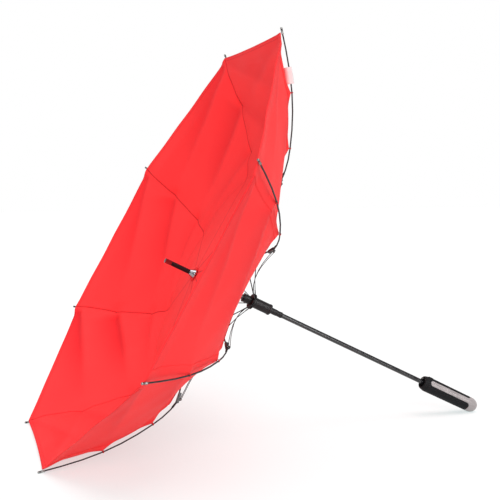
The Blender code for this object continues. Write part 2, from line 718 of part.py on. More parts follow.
def handle_body_mesh():
    """The black grip: a turned body with its mouth, the shaft's bore and the button's hole."""
    bore = SHAFT_RADIUS + FIT_GAP
    mouth_bottom = HANDLE_FRONT - MOUTH_DEPTH
    body = turned_mesh(handle_outline(), 28, closed=False)
    mouth = turned_mesh(
        [
            (0, HANDLE_FRONT + OVERRUN),
            (MOUTH_RIM_RADIUS + MOUTH_WALL, HANDLE_FRONT + OVERRUN),
            (MOUTH_RIM_RADIUS - MOUTH_WALL, HANDLE_FRONT),
            (MOUTH_RADIUS, HANDLE_FRONT - MOUTH_FLARE),
            (MOUTH_RADIUS, mouth_bottom),
            (bore, mouth_bottom),
            (bore, SHAFT_BOTTOM - FIT_GAP),
            (0, SHAFT_BOTTOM - FIT_GAP),
        ],
        28,
        closed=False,
    )
    hole = button_block(FIT_GAP, MOUTH_RADIUS / 2, BUTTON_TOP + OVERRUN)
    return smoothed(cut(body, mouth, hole, trim_mesh(FIT_GAP)))


def button_block(grow, low, high):
    """The button's rounded block, standing up from the shaft."""
    front = BUTTON_CENTRE + BUTTON_LENGTH / 2 + grow
    end = BUTTON_CENTRE - BUTTON_LENGTH / 2 - grow
    return pill_mesh(BUTTON_WIDTH + 2 * grow, front, end, low, high, 6)


def button_mesh():
    """The button's block with rounded edges, and the stem that bears on the rocker."""
    block = button_block(0.0, BUTTON_SEAT, BUTTON_TOP)
    button = new_object("button", block, bpy.context.scene.collection)
    bevel = button.modifiers.new("rounded edge", "BEVEL")
    bevel.width = BUTTON_ROUND
    bevel.segments = 2
    bevel.limit_method = "ANGLE"
    bevel.angle_limit = math.radians(60)
    made = evaluated_mesh(button)
    bpy.data.objects.remove(button)
    foot = CATCH_HINGE_RADIUS + CATCH_THICKNESS / 2 + FIT_GAP
    stem = rod_mesh(
        (foot, 0, BUTTON_STEM_HEIGHT), (BUTTON_SEAT + FIT_GAP, 0, BUTTON_STEM_HEIGHT), BUTTON_STEM_RADIUS
    )
    return smoothed(joined(made, stem))


def catch_mesh():
    """The rocker from its hinge: a nose that hooks the runner's collar, and a tail."""
    half, thick = CATCH_WIDTH / 2, CATCH_THICKNESS / 2
    collar = NECK_END_BOTTOM - RUNNER_TRAVEL + NECK_COLLAR_LENGTH
    nose_low = collar + FIT_GAP - CATCH_HINGE_HEIGHT
    nose_high = nose_low + CATCH_NOSE_THICKNESS
    nose_in = NECK_END_RADIUS + FIT_GAP - CATCH_HINGE_RADIUS
    arm = box_mesh((-thick, -half, -CATCH_TAIL_LENGTH), (thick, half, nose_high))
    nose = box_mesh((nose_in, -half, nose_low), (thick, half, nose_high))
    hub = rod_mesh((0, -half, 0), (0, half, 0), CATCH_HUB_RADIUS, 14)
    hole = rod_mesh((0, -CATCH_WIDTH, 0), (0, CATCH_WIDTH, 0), CATCH_PIN_RADIUS + FIT_GAP, 10)
    return smoothed(cut(joined(arm, nose, hub), hole))


def catch_spring_mesh():
    """The small spring between the shaft and the tail of the catch."""
    low = SHAFT_RADIUS + CATCH_SPRING_WIRE + FIT_GAP
    high = CATCH_HINGE_RADIUS - CATCH_THICKNESS / 2 - CATCH_SPRING_WIRE - FIT_GAP
    per_turn = 8
    count = CATCH_SPRING_TURNS * per_turn
    points = []
    for step in range(count + 1):
        turn = 2 * math.pi * step / per_turn
        along = CATCH_SPRING_RADIUS * math.cos(turn)
        across = CATCH_SPRING_RADIUS * math.sin(turn)
        points.append((low + (high - low) * step / count, across, BUTTON_CENTRE + along))
    return smoothed(tube_mesh(points, CATCH_SPRING_WIRE, 0))


def cloth_edge(rib):
    """Where the cloth lies along a rib, outside the fold: fold, ties and corner, in its plane."""
    line = outer_rod_line()
    corner = less_on_line(line, TIP_BACK)
    marks = [less(INNER_TIE, CLIP), less(OUTER_TIE, CLIP), corner]
    slopes = [slope(CLIP, OUTER_TIE), slope(INNER_TIE, TIP), ROD_SLOPE_AT_TIP]
    lifts = [TIE_OFFSET, TIE_OFFSET, TIP_OFFSET]
    points = [(CLIP_RADIUS, CLIP_HEIGHT + FOLD_RISE)]
    for mark, angle, lift in zip(marks, slopes, lifts):
        out = mark[0] - lift * math.sin(angle) + CLIP_RADIUS
        up = mark[1] + lift * math.cos(angle) + CLIP_HEIGHT
        points.append(turned_about((out, up), CLIP, OUTER_BENDS[rib]))
    return points


def less_on_line(line, length):
    return cut_line(line, 0.0, length)[-1]


def between(points, s):
    """The point at share s of a line's length."""
    lengths = [math.dist(points[i], points[i + 1]) for i in range(len(points) - 1)]
    left = s * sum(lengths)
    for i, length in enumerate(lengths):
        if left <= length or i == len(lengths) - 1:
            share = left / length
            return tuple(points[i][j] + share * (points[i + 1][j] - points[i][j]) for j in (0, 1))
        left -= length
    return points[-1]


def on_gore(point, side):
    """A point on the rib at one side of a gore, in the gore's own frame."""
    across = point[0] * math.sin(HALF_SPOKE) - SEAM_GAP / 2
    return Vector((point[0] * math.cos(HALF_SPOKE), side * across, point[1]))


def sheet_mesh(place, rows, columns):
    """A thin closed sheet over a grid of places, with place(s, t) from 0 to 1."""

    def fill(bm):
        grid = [
            [bm.verts.new(place(row / rows, column / columns)) for column in range(columns + 1)]
            for row in range(rows + 1)
        ]
        for row in range(rows):
            for column in range(columns):
                corners = (
                    grid[row][column],
                    grid[row + 1][column],
                    grid[row + 1][column + 1],
                    grid[row][column + 1],
                )
                bm.faces.new(corners)

    sheet = new_object("sheet", mesh_from(fill), bpy.context.scene.collection)
    solidify = sheet.modifiers.new("cloth", "SOLIDIFY")
    solidify.thickness = CLOTH
    solidify.offset = 0
    made = evaluated_mesh(sheet)
    bpy.data.objects.remove(sheet)
    return smoothed(made)


FOLD_ROOT = Vector((CLIP_RADIUS * math.cos(HALF_SPOKE), 0, CLIP_HEIGHT + FOLD_RISE))
GORE_ROOT = Vector((PIVOT_RADIUS * math.cos(HALF_SPOKE), 0, PIVOT_HEIGHT))


def outer_gore_mesh(gore):
    """The cloth outside the fold, between two ribs: taut between ties, with soft radial folds."""
    edges = [cloth_edge(gore), cloth_edge((gore + 1) % RIBS)]
    reach = math.dist(edges[0][0], edges[0][-1])
    start = SEAM_GAP / 2 / reach
    lean = Vector((-math.sin(FOLD_LEAN), 0, math.cos(FOLD_LEAN)))

    def place(s, t):
        hollow = 4 * t * (1 - t)
        share = start + (1 - start - RIM_BOW / reach * hollow) * s
        near = on_gore(between(edges[0], share), 1)
        far = on_gore(between(edges[1], share), -1)
        point = near.lerp(far, t)
        point.z += FOLD_BOW * hollow * (1 - s) ** 2
        fold = FOLD_DEPTH * math.sin(FOLD_WAVES * math.pi * t) * math.sin(math.pi * s) * hollow
        return point + lean * fold - FOLD_ROOT

    return sheet_mesh(place, OUTER_ROWS, OUTER_COLUMNS)


def inner_gore_mesh():
    """The cloth inside the fold, from the crown down to the clips."""
    seat = (CANOPY_SEAT_RADIUS, CANOPY_TOP)
    hole = (CANOPY_HOLE_RADIUS / math.cos(HALF_SPOKE), CANOPY_TOP)
    fold = (CLIP_RADIUS, CLIP_HEIGHT + FOLD_RISE)
    whole = 1 - SEAM_GAP / 2 / math.dist(seat, fold)

    def place(s, t):
        hollow = 4 * t * (1 - t)
        share = (s * INNER_ROWS - 1) / (INNER_ROWS - 1)
        mark = between([seat, fold], share * whole) if s else hole
        point = on_gore(mark, 1).lerp(on_gore(mark, -1), t)
        point.z += FOLD_BOW * hollow * s**2
        return point - GORE_ROOT

    return sheet_mesh(place, INNER_ROWS, INNER_COLUMNS)


def label_place():
    """Seam point, rod point and slope of the label's middle, in the plane of rib 1."""
    edge = cloth_edge(0)
    seam = tuple(edge[2][i] + LABEL_PLACE_SHARE * (edge[3][i] - edge[2][i]) for i in (0, 1))
    line = [(p[0] + CLIP_RADIUS, p[1] + CLIP_HEIGHT) for p in outer_rod_line()]
    rod = min(line, key=lambda point: math.dist(point, seam))
    return seam, math.dist(rod, seam), slope(edge[2], edge[3])


def label_mesh():
    """A bare woven label that stands on the seam and reaches past the rod."""
    _, reach, _ = label_place()
    low, high = -reach - LABEL_OVER_ROD, -CLOTH - FIT_GAP
    half = LABEL_LENGTH / 2
    return box_mesh((-half, -LABEL_THICKNESS, low), (half, 0, high))


def lie_angle():
    """How steeply the shaft leans when two tips and the end of the handle touch the floor."""
    along = heading(ROD_SLOPE_AT_TIP)
    tip = tuple(TIP[i] - TIP_CAP_RADIUS * along[i] for i in (0, 1))
    out, up = turned_about(tip, CLIP, max(OUTER_BENDS))
    down = out * math.cos(HALF_SPOKE)
    rise = up - (HANDLE_END + HANDLE_DOME_LENGTH)
    angle = math.radians(26)
    for _ in range(40):
        dome = math.hypot(HANDLE_TAIL_RADIUS * math.cos(angle), HANDLE_DOME_LENGTH * math.sin(angle))
        angle = math.asin((down * math.cos(angle) + TIP_CAP_RADIUS - dome) / rise)
    return angle


def stand_on_floor(root, collection):
    """Moves the root so that the lowest point is on the floor and the box is centred."""
    bpy.context.view_layer.update()
    graph = bpy.context.evaluated_depsgraph_get()
    corners = []
    for obj in collection.objects:
        if obj.type == "MESH":
            mesh = obj.evaluated_get(graph).data
            corners += [obj.matrix_world @ vertex.co for vertex in mesh.vertices]
    low = [min(c[i] for c in corners) for i in range(3)]
    high = [max(c[i] for c in corners) for i in range(3)]
    root.location -= Vector(((low[0] + high[0]) / 2, (low[1] + high[1]) / 2, low[2]))


def build_ribs(parts, root, finish):
    """Ribs and stretchers, each with its origin on its hinge."""
    inner, outer, stretcher = inner_rib_mesh(), outer_rib_mesh(), stretcher_mesh()
    for rib in range(RIBS):
        spoke = new_empty(f"rib_spoke_{rib + 1}", parts, root, rib_angle(rib))
        places = (
            (f"inner_rib_{rib + 1}", inner, PIVOT, 0.0, finish["rod"]),
            (f"outer_rib_{rib + 1}", outer, CLIP, OUTER_BENDS[rib], finish["rod"]),
            (f"stretcher_{rib + 1}", stretcher, LUG, 0.0, finish["steel"]),
        )
        for name, mesh, hinge, bend, material in places:
            obj = new_object(name, mesh, parts, material, spoke)
            obj.location = in_plane(hinge)
            obj.rotation_euler.y = -bend


def build_canopy(parts, root, finish):
    """Inner and outer cloth of each gore, with its origin on the line that it turns about."""
    inner = inner_gore_mesh()
    for gore in range(RIBS):
        spoke = new_empty(f"gore_spoke_{gore + 1}", parts, root, gore_angle(gore))
        cloth = new_object(f"inner_gore_{gore + 1}", inner, parts, finish["cloth"], spoke)
        cloth.location = GORE_ROOT
        outer = outer_gore_mesh(gore)
        cloth = new_object(f"outer_gore_{gore + 1}", outer, parts, finish["cloth"], spoke)
        cloth.location = FOLD_ROOT


def build_label(parts, finish):
    """The label beside rod 1, on the side away from its neighbour rib 8."""
    seam, _, angle = label_place()
    spoke = bpy.data.objects["rib_spoke_1"]
    label = new_object("care_label", label_mesh(), parts, finish["label"], spoke)
    label.location = in_plane(seam, -ROD_RADIUS - FIT_GAP)
    label.rotation_euler.y = -angle


def build_ferrule(parts, root, finish):
    """Cone, tube and end cap over the shaft's end, and the cloth washer under the cone."""
    bore = SHAFT_RADIUS + FIT_GAP
    cone_top = CONE_HEIGHT
    cone = turned_mesh(
        [
            (CONE_TIP_RADIUS, cone_top),
            (CONE_BASE_RADIUS, CONE_LIP),
            (CONE_BASE_RADIUS, 0),
            (bore, 0),
            (bore, SHAFT_TOP + FIT_GAP),
            (SPIGOT_RADIUS + FIT_GAP, SHAFT_TOP + FIT_GAP),
            (SPIGOT_RADIUS + FIT_GAP, cone_top),
        ],
        28,
    )
    new_object("ferrule_cone", smoothed(cone), parts, finish["chrome"], root)
    tube_top = cone_top + FIT_GAP + FERRULE_TUBE_LENGTH
    tube = turned_mesh(
        [
            (FERRULE_RADIUS, tube_top),
            (FERRULE_RADIUS, cone_top + FIT_GAP),
            (SPIGOT_RADIUS + FIT_GAP, cone_top + FIT_GAP),
            (SPIGOT_RADIUS + FIT_GAP, tube_top),
        ],
        24,
    )
    new_object("ferrule_tube", smoothed(tube), parts, finish["plastic"], root)
    cap_low = tube_top + FIT_GAP
    cap_top = cap_low + FERRULE_CAP_LENGTH
    cap = turned_mesh(
        [
            (0, cap_top),
            (FERRULE_CAP_RADIUS - FERRULE_CAP_ROUND, cap_top),
            (FERRULE_CAP_RADIUS, cap_top - FERRULE_CAP_ROUND),
            (FERRULE_CAP_RADIUS, cap_low),
            (SPIGOT_RADIUS, cap_low),
            (SPIGOT_RADIUS, SHAFT_TOP + FIT_GAP),
            (0, SHAFT_TOP + FIT_GAP),
        ],
        24,
        closed=False,
    )
    new_object("ferrule_cap", smoothed(cap), parts, finish["chrome"], root)
    low = -FIT_GAP - ROSETTE_THICKNESS
    rosette = turned_mesh(
        [(ROSETTE_RADIUS, -FIT_GAP), (ROSETTE_RADIUS, low), (bore, low), (bore, -FIT_GAP)], 32
    )
    new_object("rosette", smoothed(rosette), parts, finish["cloth"], root)


def build_drive(parts, root, finish):
    """The spring's seat in the shaft, and the pin from the plunger to the runner."""
    radius = SHAFT_RADIUS - SHAFT_WALL - FIT_GAP
    plug = rod_mesh((0, 0, SHAFT_BOTTOM), (0, 0, SHAFT_BOTTOM + PLUG_LENGTH), radius, 16)
    new_object("shaft_plug", smoothed(plug), parts, finish["plastic"], root)
    height = RUNNER_PIVOT_HEIGHT - DRIVE_PIN_DROP
    pin = rod_mesh((0, FIT_GAP, 0), (0, SLEEVE_RADIUS - FIT_GAP, 0), DRIVE_PIN_RADIUS, 10)
    pin_object = new_object("runner_drive_pin", smoothed(pin), parts, finish["steel"], root)
    pin_object.location.z = height


def build_release(parts, root, finish):
    """Button, rocker and pin, with the rocker's origin on its hinge."""
    new_object("push_button", button_mesh(), parts, finish["plastic"], root)
    hinge = (CATCH_HINGE_RADIUS, 0, CATCH_HINGE_HEIGHT)
    catch = new_object("runner_catch", catch_mesh(), parts, finish["steel"], root)
    catch.location = hinge
    half = CATCH_PIN_LENGTH / 2
    pin_mesh = smoothed(rod_mesh((0, -half, 0), (0, half, 0), CATCH_PIN_RADIUS, 10))
    pin = new_object("catch_pin", pin_mesh, parts, finish["steel"], root)
    pin.location = hinge


def build_turned(parts, root, finish):
    """Everything else that sits on the shaft's axis."""
    solids = {
        "shaft": (shaft_mesh, "steel"),
        "opening_spring": (spring_mesh, "steel"),
        "spring_plunger": (plunger_mesh, "plastic"),
        "crown": (crown_mesh, "plastic"),
        "runner": (runner_mesh, "plastic"),
        "handle_body": (handle_body_mesh, "grip"),
        "handle_trim": (trim_mesh, "trim"),
        "catch_spring": (catch_spring_mesh, "steel"),
    }
    for name, (make, material) in solids.items():
        new_object(name, make(), parts, finish[material], root)
    crown_wire = ring_mesh(PIVOT_RADIUS, PIVOT_HEIGHT, TIE_WIRE_RADIUS)
    new_object("crown_wire", crown_wire, parts, finish["steel"], root)
    runner_wire = ring_mesh(RUNNER_WIRE_RADIUS, RUNNER_PIVOT_HEIGHT, TIE_WIRE_RADIUS)
    new_object("runner_wire", runner_wire, parts, finish["steel"], root)


def finishes():
    return {
        "rod": new_material("graphite fibreglass", (0.03, 0.03, 0.032), 0.35),
        "steel": new_material("blackened steel", (0.035, 0.033, 0.034), 0.35, 0.6),
        "plastic": new_material("black plastic", (0.015, 0.015, 0.016), 0.45),
        "grip": new_material("soft black grip", (0.012, 0.012, 0.013), 0.7),
        "trim": new_material("light grey plastic", (0.42, 0.40, 0.40), 0.4),
        "chrome": new_material("chrome", (0.8, 0.8, 0.8), 0.08, 1.0),
        "cloth": new_material("red canopy cloth", (0.85, 0.05, 0.055), 0.65),
        "label": new_material("white woven label", (0.85, 0.85, 0.85), 0.8),
    }


def build_umbrella():
    empty_scene()
    parts = new_collection("automatic_umbrella")
    finish = finishes()
    root = new_object("shaft_axis", None, parts)
    root.rotation_euler.y = lie_angle() - math.pi / 2
    build_ribs(parts, root, finish)
    build_canopy(parts, root, finish)
    build_label(parts, finish)
    build_ferrule(parts, root, finish)
    build_drive(parts, root, finish)
    build_release(parts, root, finish)
    build_turned(parts, root, finish)
    stand_on_floor(root, parts)


build_umbrella()
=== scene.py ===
"""Automatic umbrella with its canopy blown inside out: the looks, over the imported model.

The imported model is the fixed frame. Its rigid pieces stay and get their finishes. The cloth,
the springs, the cloth washer and the label are made here in full, in their places. Metres.
"""

from __future__ import annotations

import json
import logging
import math
from dataclasses import dataclass, field
from enum import Enum
from functools import cache
from typing import Any, Mapping, Sequence

import bpy
import numpy as np
from mathutils import Matrix, Vector

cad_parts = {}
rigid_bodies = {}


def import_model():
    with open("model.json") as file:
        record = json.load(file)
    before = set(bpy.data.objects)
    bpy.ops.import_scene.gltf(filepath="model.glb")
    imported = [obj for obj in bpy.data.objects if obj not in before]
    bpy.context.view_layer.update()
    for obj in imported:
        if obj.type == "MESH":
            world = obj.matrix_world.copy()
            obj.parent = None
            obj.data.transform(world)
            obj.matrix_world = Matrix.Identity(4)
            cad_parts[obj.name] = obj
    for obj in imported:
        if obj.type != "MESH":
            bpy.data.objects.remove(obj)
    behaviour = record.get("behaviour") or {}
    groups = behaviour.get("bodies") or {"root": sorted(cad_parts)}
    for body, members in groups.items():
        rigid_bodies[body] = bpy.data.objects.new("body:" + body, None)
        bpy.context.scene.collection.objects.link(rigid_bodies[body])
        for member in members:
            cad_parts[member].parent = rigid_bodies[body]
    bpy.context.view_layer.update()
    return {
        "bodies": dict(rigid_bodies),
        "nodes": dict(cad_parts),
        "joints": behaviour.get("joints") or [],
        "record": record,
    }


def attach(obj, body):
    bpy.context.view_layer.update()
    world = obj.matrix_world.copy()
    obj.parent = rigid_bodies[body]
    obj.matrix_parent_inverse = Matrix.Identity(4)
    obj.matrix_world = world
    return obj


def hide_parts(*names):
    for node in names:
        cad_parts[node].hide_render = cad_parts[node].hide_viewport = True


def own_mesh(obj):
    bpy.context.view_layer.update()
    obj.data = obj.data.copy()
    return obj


LOG = logging.getLogger("umbrella")
RIBS = 8
HALF_SPOKE = math.pi / RIBS
# A MapRange node's limits, in the order in which they are given here
LIMITS = ("From Min", "From Max", "To Min", "To Max")
# A wave texture has one band in this much of its own units
WAVE_BAND = 0.314

Point = tuple[float, float]
Array = np.ndarray
Mesh = tuple[Array, list[list[int]]]
Tree = bpy.types.NodeTree
Source = bpy.types.Node | bpy.types.NodeSocket


def linear(colour: str) -> tuple[float, float, float, float]:
    """Turns an sRGB hex colour into the linear values that the shader takes.

    Args:
        colour: Six hex digits after a #.

    Returns:
        Red, green, blue and a full alpha.
    """
    parts = [int(colour[i : i + 2], 16) / 255 for i in (1, 3, 5)]
    red, green, blue = (c / 12.92 if c <= 0.04045 else ((c + 0.055) / 1.055) ** 2.4 for c in parts)
    return red, green, blue, 1.0


def link(tree: Tree, source: Source, node: bpy.types.Node, name: str | int) -> None:
    """Links a socket, or the first output of a node, to an input."""
    socket = source.outputs[0] if isinstance(source, bpy.types.Node) else source
    tree.links.new(socket, node.inputs[name])


def add_node(
    tree: Tree,
    kind: str,
    settings: Mapping[Any, Any] | None = None,
    links: Mapping[Any, Source] | None = None,
) -> bpy.types.Node:
    """Adds one node with its settings and links.

    Args:
        tree: The node tree.
        kind: The node's type without the ShaderNode in front.
        settings: Values by the name of a property, or by the name or index of an input.
        links: What feeds each input, by the input's name or index.

    Returns:
        The new node.
    """
    node = tree.nodes.new("ShaderNode" + kind)
    for name, value in (settings or {}).items():
        if isinstance(name, str) and name[0].islower():
            setattr(node, name, value)
        else:
            node.inputs[name].default_value = value
    for name, source in (links or {}).items():
        link(tree, source, node, name)
    return node


def stacked(*parts: Array | float) -> Array:
    """Points from their coordinates, of which some may be a single number or row."""
    return np.stack(np.broadcast_arrays(*parts), axis=-1)


def smooth_step(value: Array) -> Array:
    """Eases values from 0 to 1, and holds them there outside."""
    t = np.clip(value, 0, 1)
    return t * t * (3 - 2 * t)


def hermite(
    points: Sequence[Point], leave: Sequence[float], arrive: Sequence[float], steps: int
) -> Array:
    """A smooth line of the rib plane through points.

    Args:
        points: The points to pass.
        leave: The slope in radians in which each span starts.
        arrive: The slope in radians in which each span ends.
        steps: How many pieces each span has.

    Returns:
        The line's points, one a row.
    """
    t = np.linspace(0, 1, steps + 1)[:, None]
    made = [np.array([points[0]])]
    for i in range(len(points) - 1):
        start, end = np.array(points[i]), np.array(points[i + 1])
        reach = np.linalg.norm(end - start)
        out, back = (np.array([math.cos(a), math.sin(a)]) * reach for a in (leave[i], arrive[i]))
        span = (2 * t**3 - 3 * t**2 + 1) * start + (3 * t**2 - 2 * t**3) * end
        span = span + (t**3 - 2 * t**2 + t) * out + (t**3 - t**2) * back
        made.append(span[1:])
    return np.concatenate(made)


def slope(start: Point, end: Point) -> float:
    """The slope in radians of the line between two points of the rib plane."""
    return math.atan2(end[1] - start[1], end[0] - start[0])


def run_along(line: Array) -> Array:
    """The length that a line has run at each of its points."""
    steps = np.linalg.norm(np.diff(line, axis=0), axis=1)
    return np.concatenate([[0.0], np.cumsum(steps)])


def turned_about(points: Sequence[Point], centre: Point, angle: float) -> Array:
    """Points of the rib plane turned about a centre, towards the ferrule for a positive angle."""
    c, s = math.cos(angle), math.sin(angle)
    return np.array(centre) + (np.array(points) - np.array(centre)) @ np.array([[c, s], [-s, c]])


def in_world(points: Array, place: Matrix) -> Array:
    """Points carried by a matrix."""
    full = np.array(place)
    return points @ full[:3, :3].T + full[:3, 3]


def mesh_object(
    name: str, points: Array, faces: Sequence[Sequence[int]], material: bpy.types.Material
) -> bpy.types.Object:
    """Makes a smooth-shaded mesh object.

    Args:
        name: The piece's name.
        points: Its points in the world, one a row.
        faces: The corners of each face.
        material: Its finish.

    Returns:
        The new object, in the scene.
    """
    mesh = bpy.data.meshes.new(name)
    mesh.from_pydata(points.tolist(), [], faces)
    mesh.shade_smooth()
    mesh.materials.append(material)
    obj = bpy.data.objects.new(name, mesh)
    bpy.context.scene.collection.objects.link(obj)
    return obj


def sheet_object(
    name: str,
    grid: Array,
    surface: Surface,
    flat: tuple[Array, Array],
    values: Mapping[str, Array | float],
    thickness: float,
) -> bpy.types.Object:
    """Makes a sheet from a grid of points.

    Args:
        name: The piece's name.
        grid: Its points in the world, as rows, columns, 3.
        surface: Its finish.
        flat: Each point's place across and down the flat sheet.
        values: One number at each point, by the name of the attribute.
        thickness: How thick it is, half to each side.

    Returns:
        The new object, in the scene.
    """
    rows, columns = grid.shape[:2]
    first = (np.arange(rows - 1)[:, None] * columns + np.arange(columns - 1)).ravel()
    faces = np.stack([first, first + 1, first + columns + 1, first + columns], axis=-1)
    obj = mesh_object(name, grid.reshape(-1, 3), faces.tolist(), surface.material())
    places = stacked(*flat).reshape(-1, 2)[faces.ravel()].astype(np.float32)
    obj.data.uv_layers.new(name="weave").data.foreach_set("uv", places.ravel())
    for key, numbers in values.items():
        full = np.broadcast_to(numbers, (rows, columns)).astype(np.float32)
        obj.data.attributes.new(key, "FLOAT", "POINT").data.foreach_set("value", full.ravel())
    solidify = obj.modifiers.new("thickness", "SOLIDIFY")
    solidify.thickness, solidify.offset = thickness, 0
    return obj


def ring_faces(rings: int, sides: int) -> list[list[int]]:
    """The faces between rings of points.

    Args:
        rings: How many rings there are.
        sides: How many points each has.

    Returns:
        The corners of each face, with a face to close each end last.
    """
    last = (rings - 1) * sides
    faces = []
    for low in range(0, last, sides):
        for side in range(sides):
            after = (side + 1) % sides
            faces.append([low + side, low + after, low + sides + after, low + sides + side])
    return [*faces, list(range(sides))[::-1], list(range(last, last + sides))]


def tube(points: Array, radius: float, sides: int) -> Mesh:
    """A round tube along a line, closed at both ends.

    Args:
        points: The line's points.
        radius: The tube's radius.
        sides: How many sides it has.

    Returns:
        The points and the faces.
    """
    ahead = np.gradient(points, axis=0)
    ahead /= np.linalg.norm(ahead, axis=1)[:, None]
    # Any direction that no line starts in will do
    normal = np.cross(ahead[0], (0.3, 0.5, 0.81))
    turns = np.linspace(0, 2 * math.pi, sides, endpoint=False)[:, None]
    rings = []
    for point, direction in zip(points, ahead):
        normal = normal - direction * (normal @ direction)
        normal = normal / np.linalg.norm(normal)
        across = np.cross(direction, normal)
        rings.append(point + radius * (np.cos(turns) * normal + np.sin(turns) * across))
    return np.concatenate(rings), ring_faces(len(points), sides)


def lathe(outline: Sequence[Point], steps: int, place: Matrix) -> Mesh:
    """A turned solid, closed at both ends.

    Args:
        outline: Radius and height from one end to the other.
        steps: How many steps the turn has.
        place: Carries the solid's own +Z axis to where it goes.

    Returns:
        The points and the faces.
    """
    turns = np.linspace(0, 2 * math.pi, steps, endpoint=False)
    points = np.array([(r * math.cos(t), r * math.sin(t), z) for r, z in outline for t in turns])
    return in_world(points, place), ring_faces(len(outline), steps)


def joined(parts: Sequence[Mesh]) -> Mesh:
    """Several meshes as one.

    Args:
        parts: The points and the faces of each.

    Returns:
        The points and the faces of all.
    """
    faces, first = [], 0
    for points, sides in parts:
        faces += [[first + corner for corner in side] for side in sides]
        first += len(points)
    return np.concatenate([points for points, _ in parts]), faces


@dataclass(frozen=True)
class Surface:
    """What a piece is made of and how its surface was made. Each kind says how that looks."""

    name: str
    colour: str
    roughness: float

    @cache
    def material(self) -> bpy.types.Material:
        """The surface's material, made once.

        Returns:
            The material.
        """
        made = bpy.data.materials.new(self.name)
        made.use_nodes = True
        shader = made.node_tree.nodes["Principled BSDF"]
        for name, value in self.constants().items():
            shader.inputs[name].default_value = value
        for name, source in self.patterns(made.node_tree).items():
            link(made.node_tree, source, shader, name)
        return made

    def constants(self) -> dict[str, Any]:
        """The inputs of the shader that are the same all over."""
        return {"Roughness": self.roughness}

    def patterns(self, tree: Tree) -> dict[str, Source]:
        """What feeds the inputs of the shader that change from place to place."""
        return {}


class Way(Enum):
    """The ways in which a piece's surface was made, for the marks that it left."""

    MOULDED = "moulded"
    COATED = "coated"
    DRAWN = "drawn"
    POLISHED = "polished"


@dataclass(frozen=True)
class Finish(Surface):
    """A plain hard finish: its colour, gloss, and the fine marks of how it was made."""
    way: Way
    metallic: float = 0.0
    # Grain spacing in metres. Real grain is 0.05 to 0.2 mm, and is drawn coarser so that it shows
    grain: float = 0.0012
    depth: float = 0.00004
    coat: float = 0.0
    specular: float = 0.5

    def constants(self) -> dict[str, Any]:
        """The inputs of the shader that are the same all over."""
        return {
            "Metallic": self.metallic,
            "Coat Weight": self.coat,
            "Specular IOR Level": self.specular,
        }

    def patterns(self, tree: Tree) -> dict[str, Source]:
        """The grain, the wear in the gloss and the slight unevenness of the colour.

        Args:
            tree: The material's nodes.

        Returns:
            What feeds the shader, by the name of the input.
        """
        where = add_node(tree, "TexCoord").outputs["Object"]
        if self.way is Way.DRAWN:
            # Its marks are pulled long
            where = add_node(tree, "Mapping", {"Scale": (1, 1, 0.35)}, {"Vector": where})
        cloud = add_node(tree, "TexNoise", {"Scale": 45.0, "Detail": 2.0}, {"Vector": where})
        tones = dict(zip(LIMITS, (0.35, 0.65, 0.9, 1.1)))
        tone = add_node(tree, "MapRange", tones, {"Value": cloud})
        spread = 0.04 if self.way is Way.POLISHED else 0.08
        low, high = max(0.03, self.roughness - spread), self.roughness + spread
        worn = dict(zip(LIMITS, (0.3, 0.7, low, high)))
        scaled = {"operation": "SCALE", 0: linear(self.colour)[:3]}
        made = {
            "Base Color": add_node(tree, "VectorMath", scaled, {"Scale": self.zones(tree, tone)}),
            "Roughness": add_node(tree, "MapRange", worn, {"Value": cloud}),
        }
        if self.way is not Way.POLISHED:
            marks = {"Scale": 1 / self.grain, "Detail": 3.0}
            grain = add_node(tree, "TexNoise", marks, {"Vector": where})
            relief = {"Strength": 0.6, "Distance": self.depth}
            made["Normal"] = add_node(tree, "Bump", relief, {"Height": grain})
        return made

    def zones(self, tree: Tree, tone: Source) -> Source:
        """How bright each place is. A finish with a second zone changes it."""
        return tone


@dataclass(frozen=True)
class EndedFinish(Finish):
    """A rod's finish whose end, beyond or within a distance from the shaft, is moulded in black.

    The eye sees a dark grey rod or wire that ends in a blacker, duller plastic or dipped root.
    """

    edge: float = 0.0
    beyond: bool = True
    darker: float = 0.3
    blend: float = 0.0002
    base: tuple[float, float, float] = (0.0, 0.0, 0.0)
    up: tuple[float, float, float] = (0.0, 0.0, 1.0)

    def zones(self, tree: Tree, tone: Source) -> Source:
        """Darkens the end, found by its distance from the shaft's axis.

        Args:
            tree: The material's nodes.
            tone: The brightness without zones.

        Returns:
            The brightness with them.
        """
        where = add_node(tree, "TexCoord").outputs["Object"]
        away = add_node(tree, "VectorMath", {"operation": "SUBTRACT", 1: self.base}, {0: where})
        cross = add_node(tree, "VectorMath", {"operation": "CROSS_PRODUCT", 1: self.up}, {0: away})
        radius = add_node(tree, "VectorMath", {"operation": "LENGTH"}, {0: cross}).outputs["Value"]
        tones = (1.0, self.darker) if self.beyond else (self.darker, 1.0)
        step = dict(zip(LIMITS, (self.edge - self.blend, self.edge + self.blend, *tones)))
        zone = add_node(tree, "MapRange", step, {"Value": radius})
        return add_node(tree, "Math", {"operation": "MULTIPLY"}, {0: tone, 1: zone})


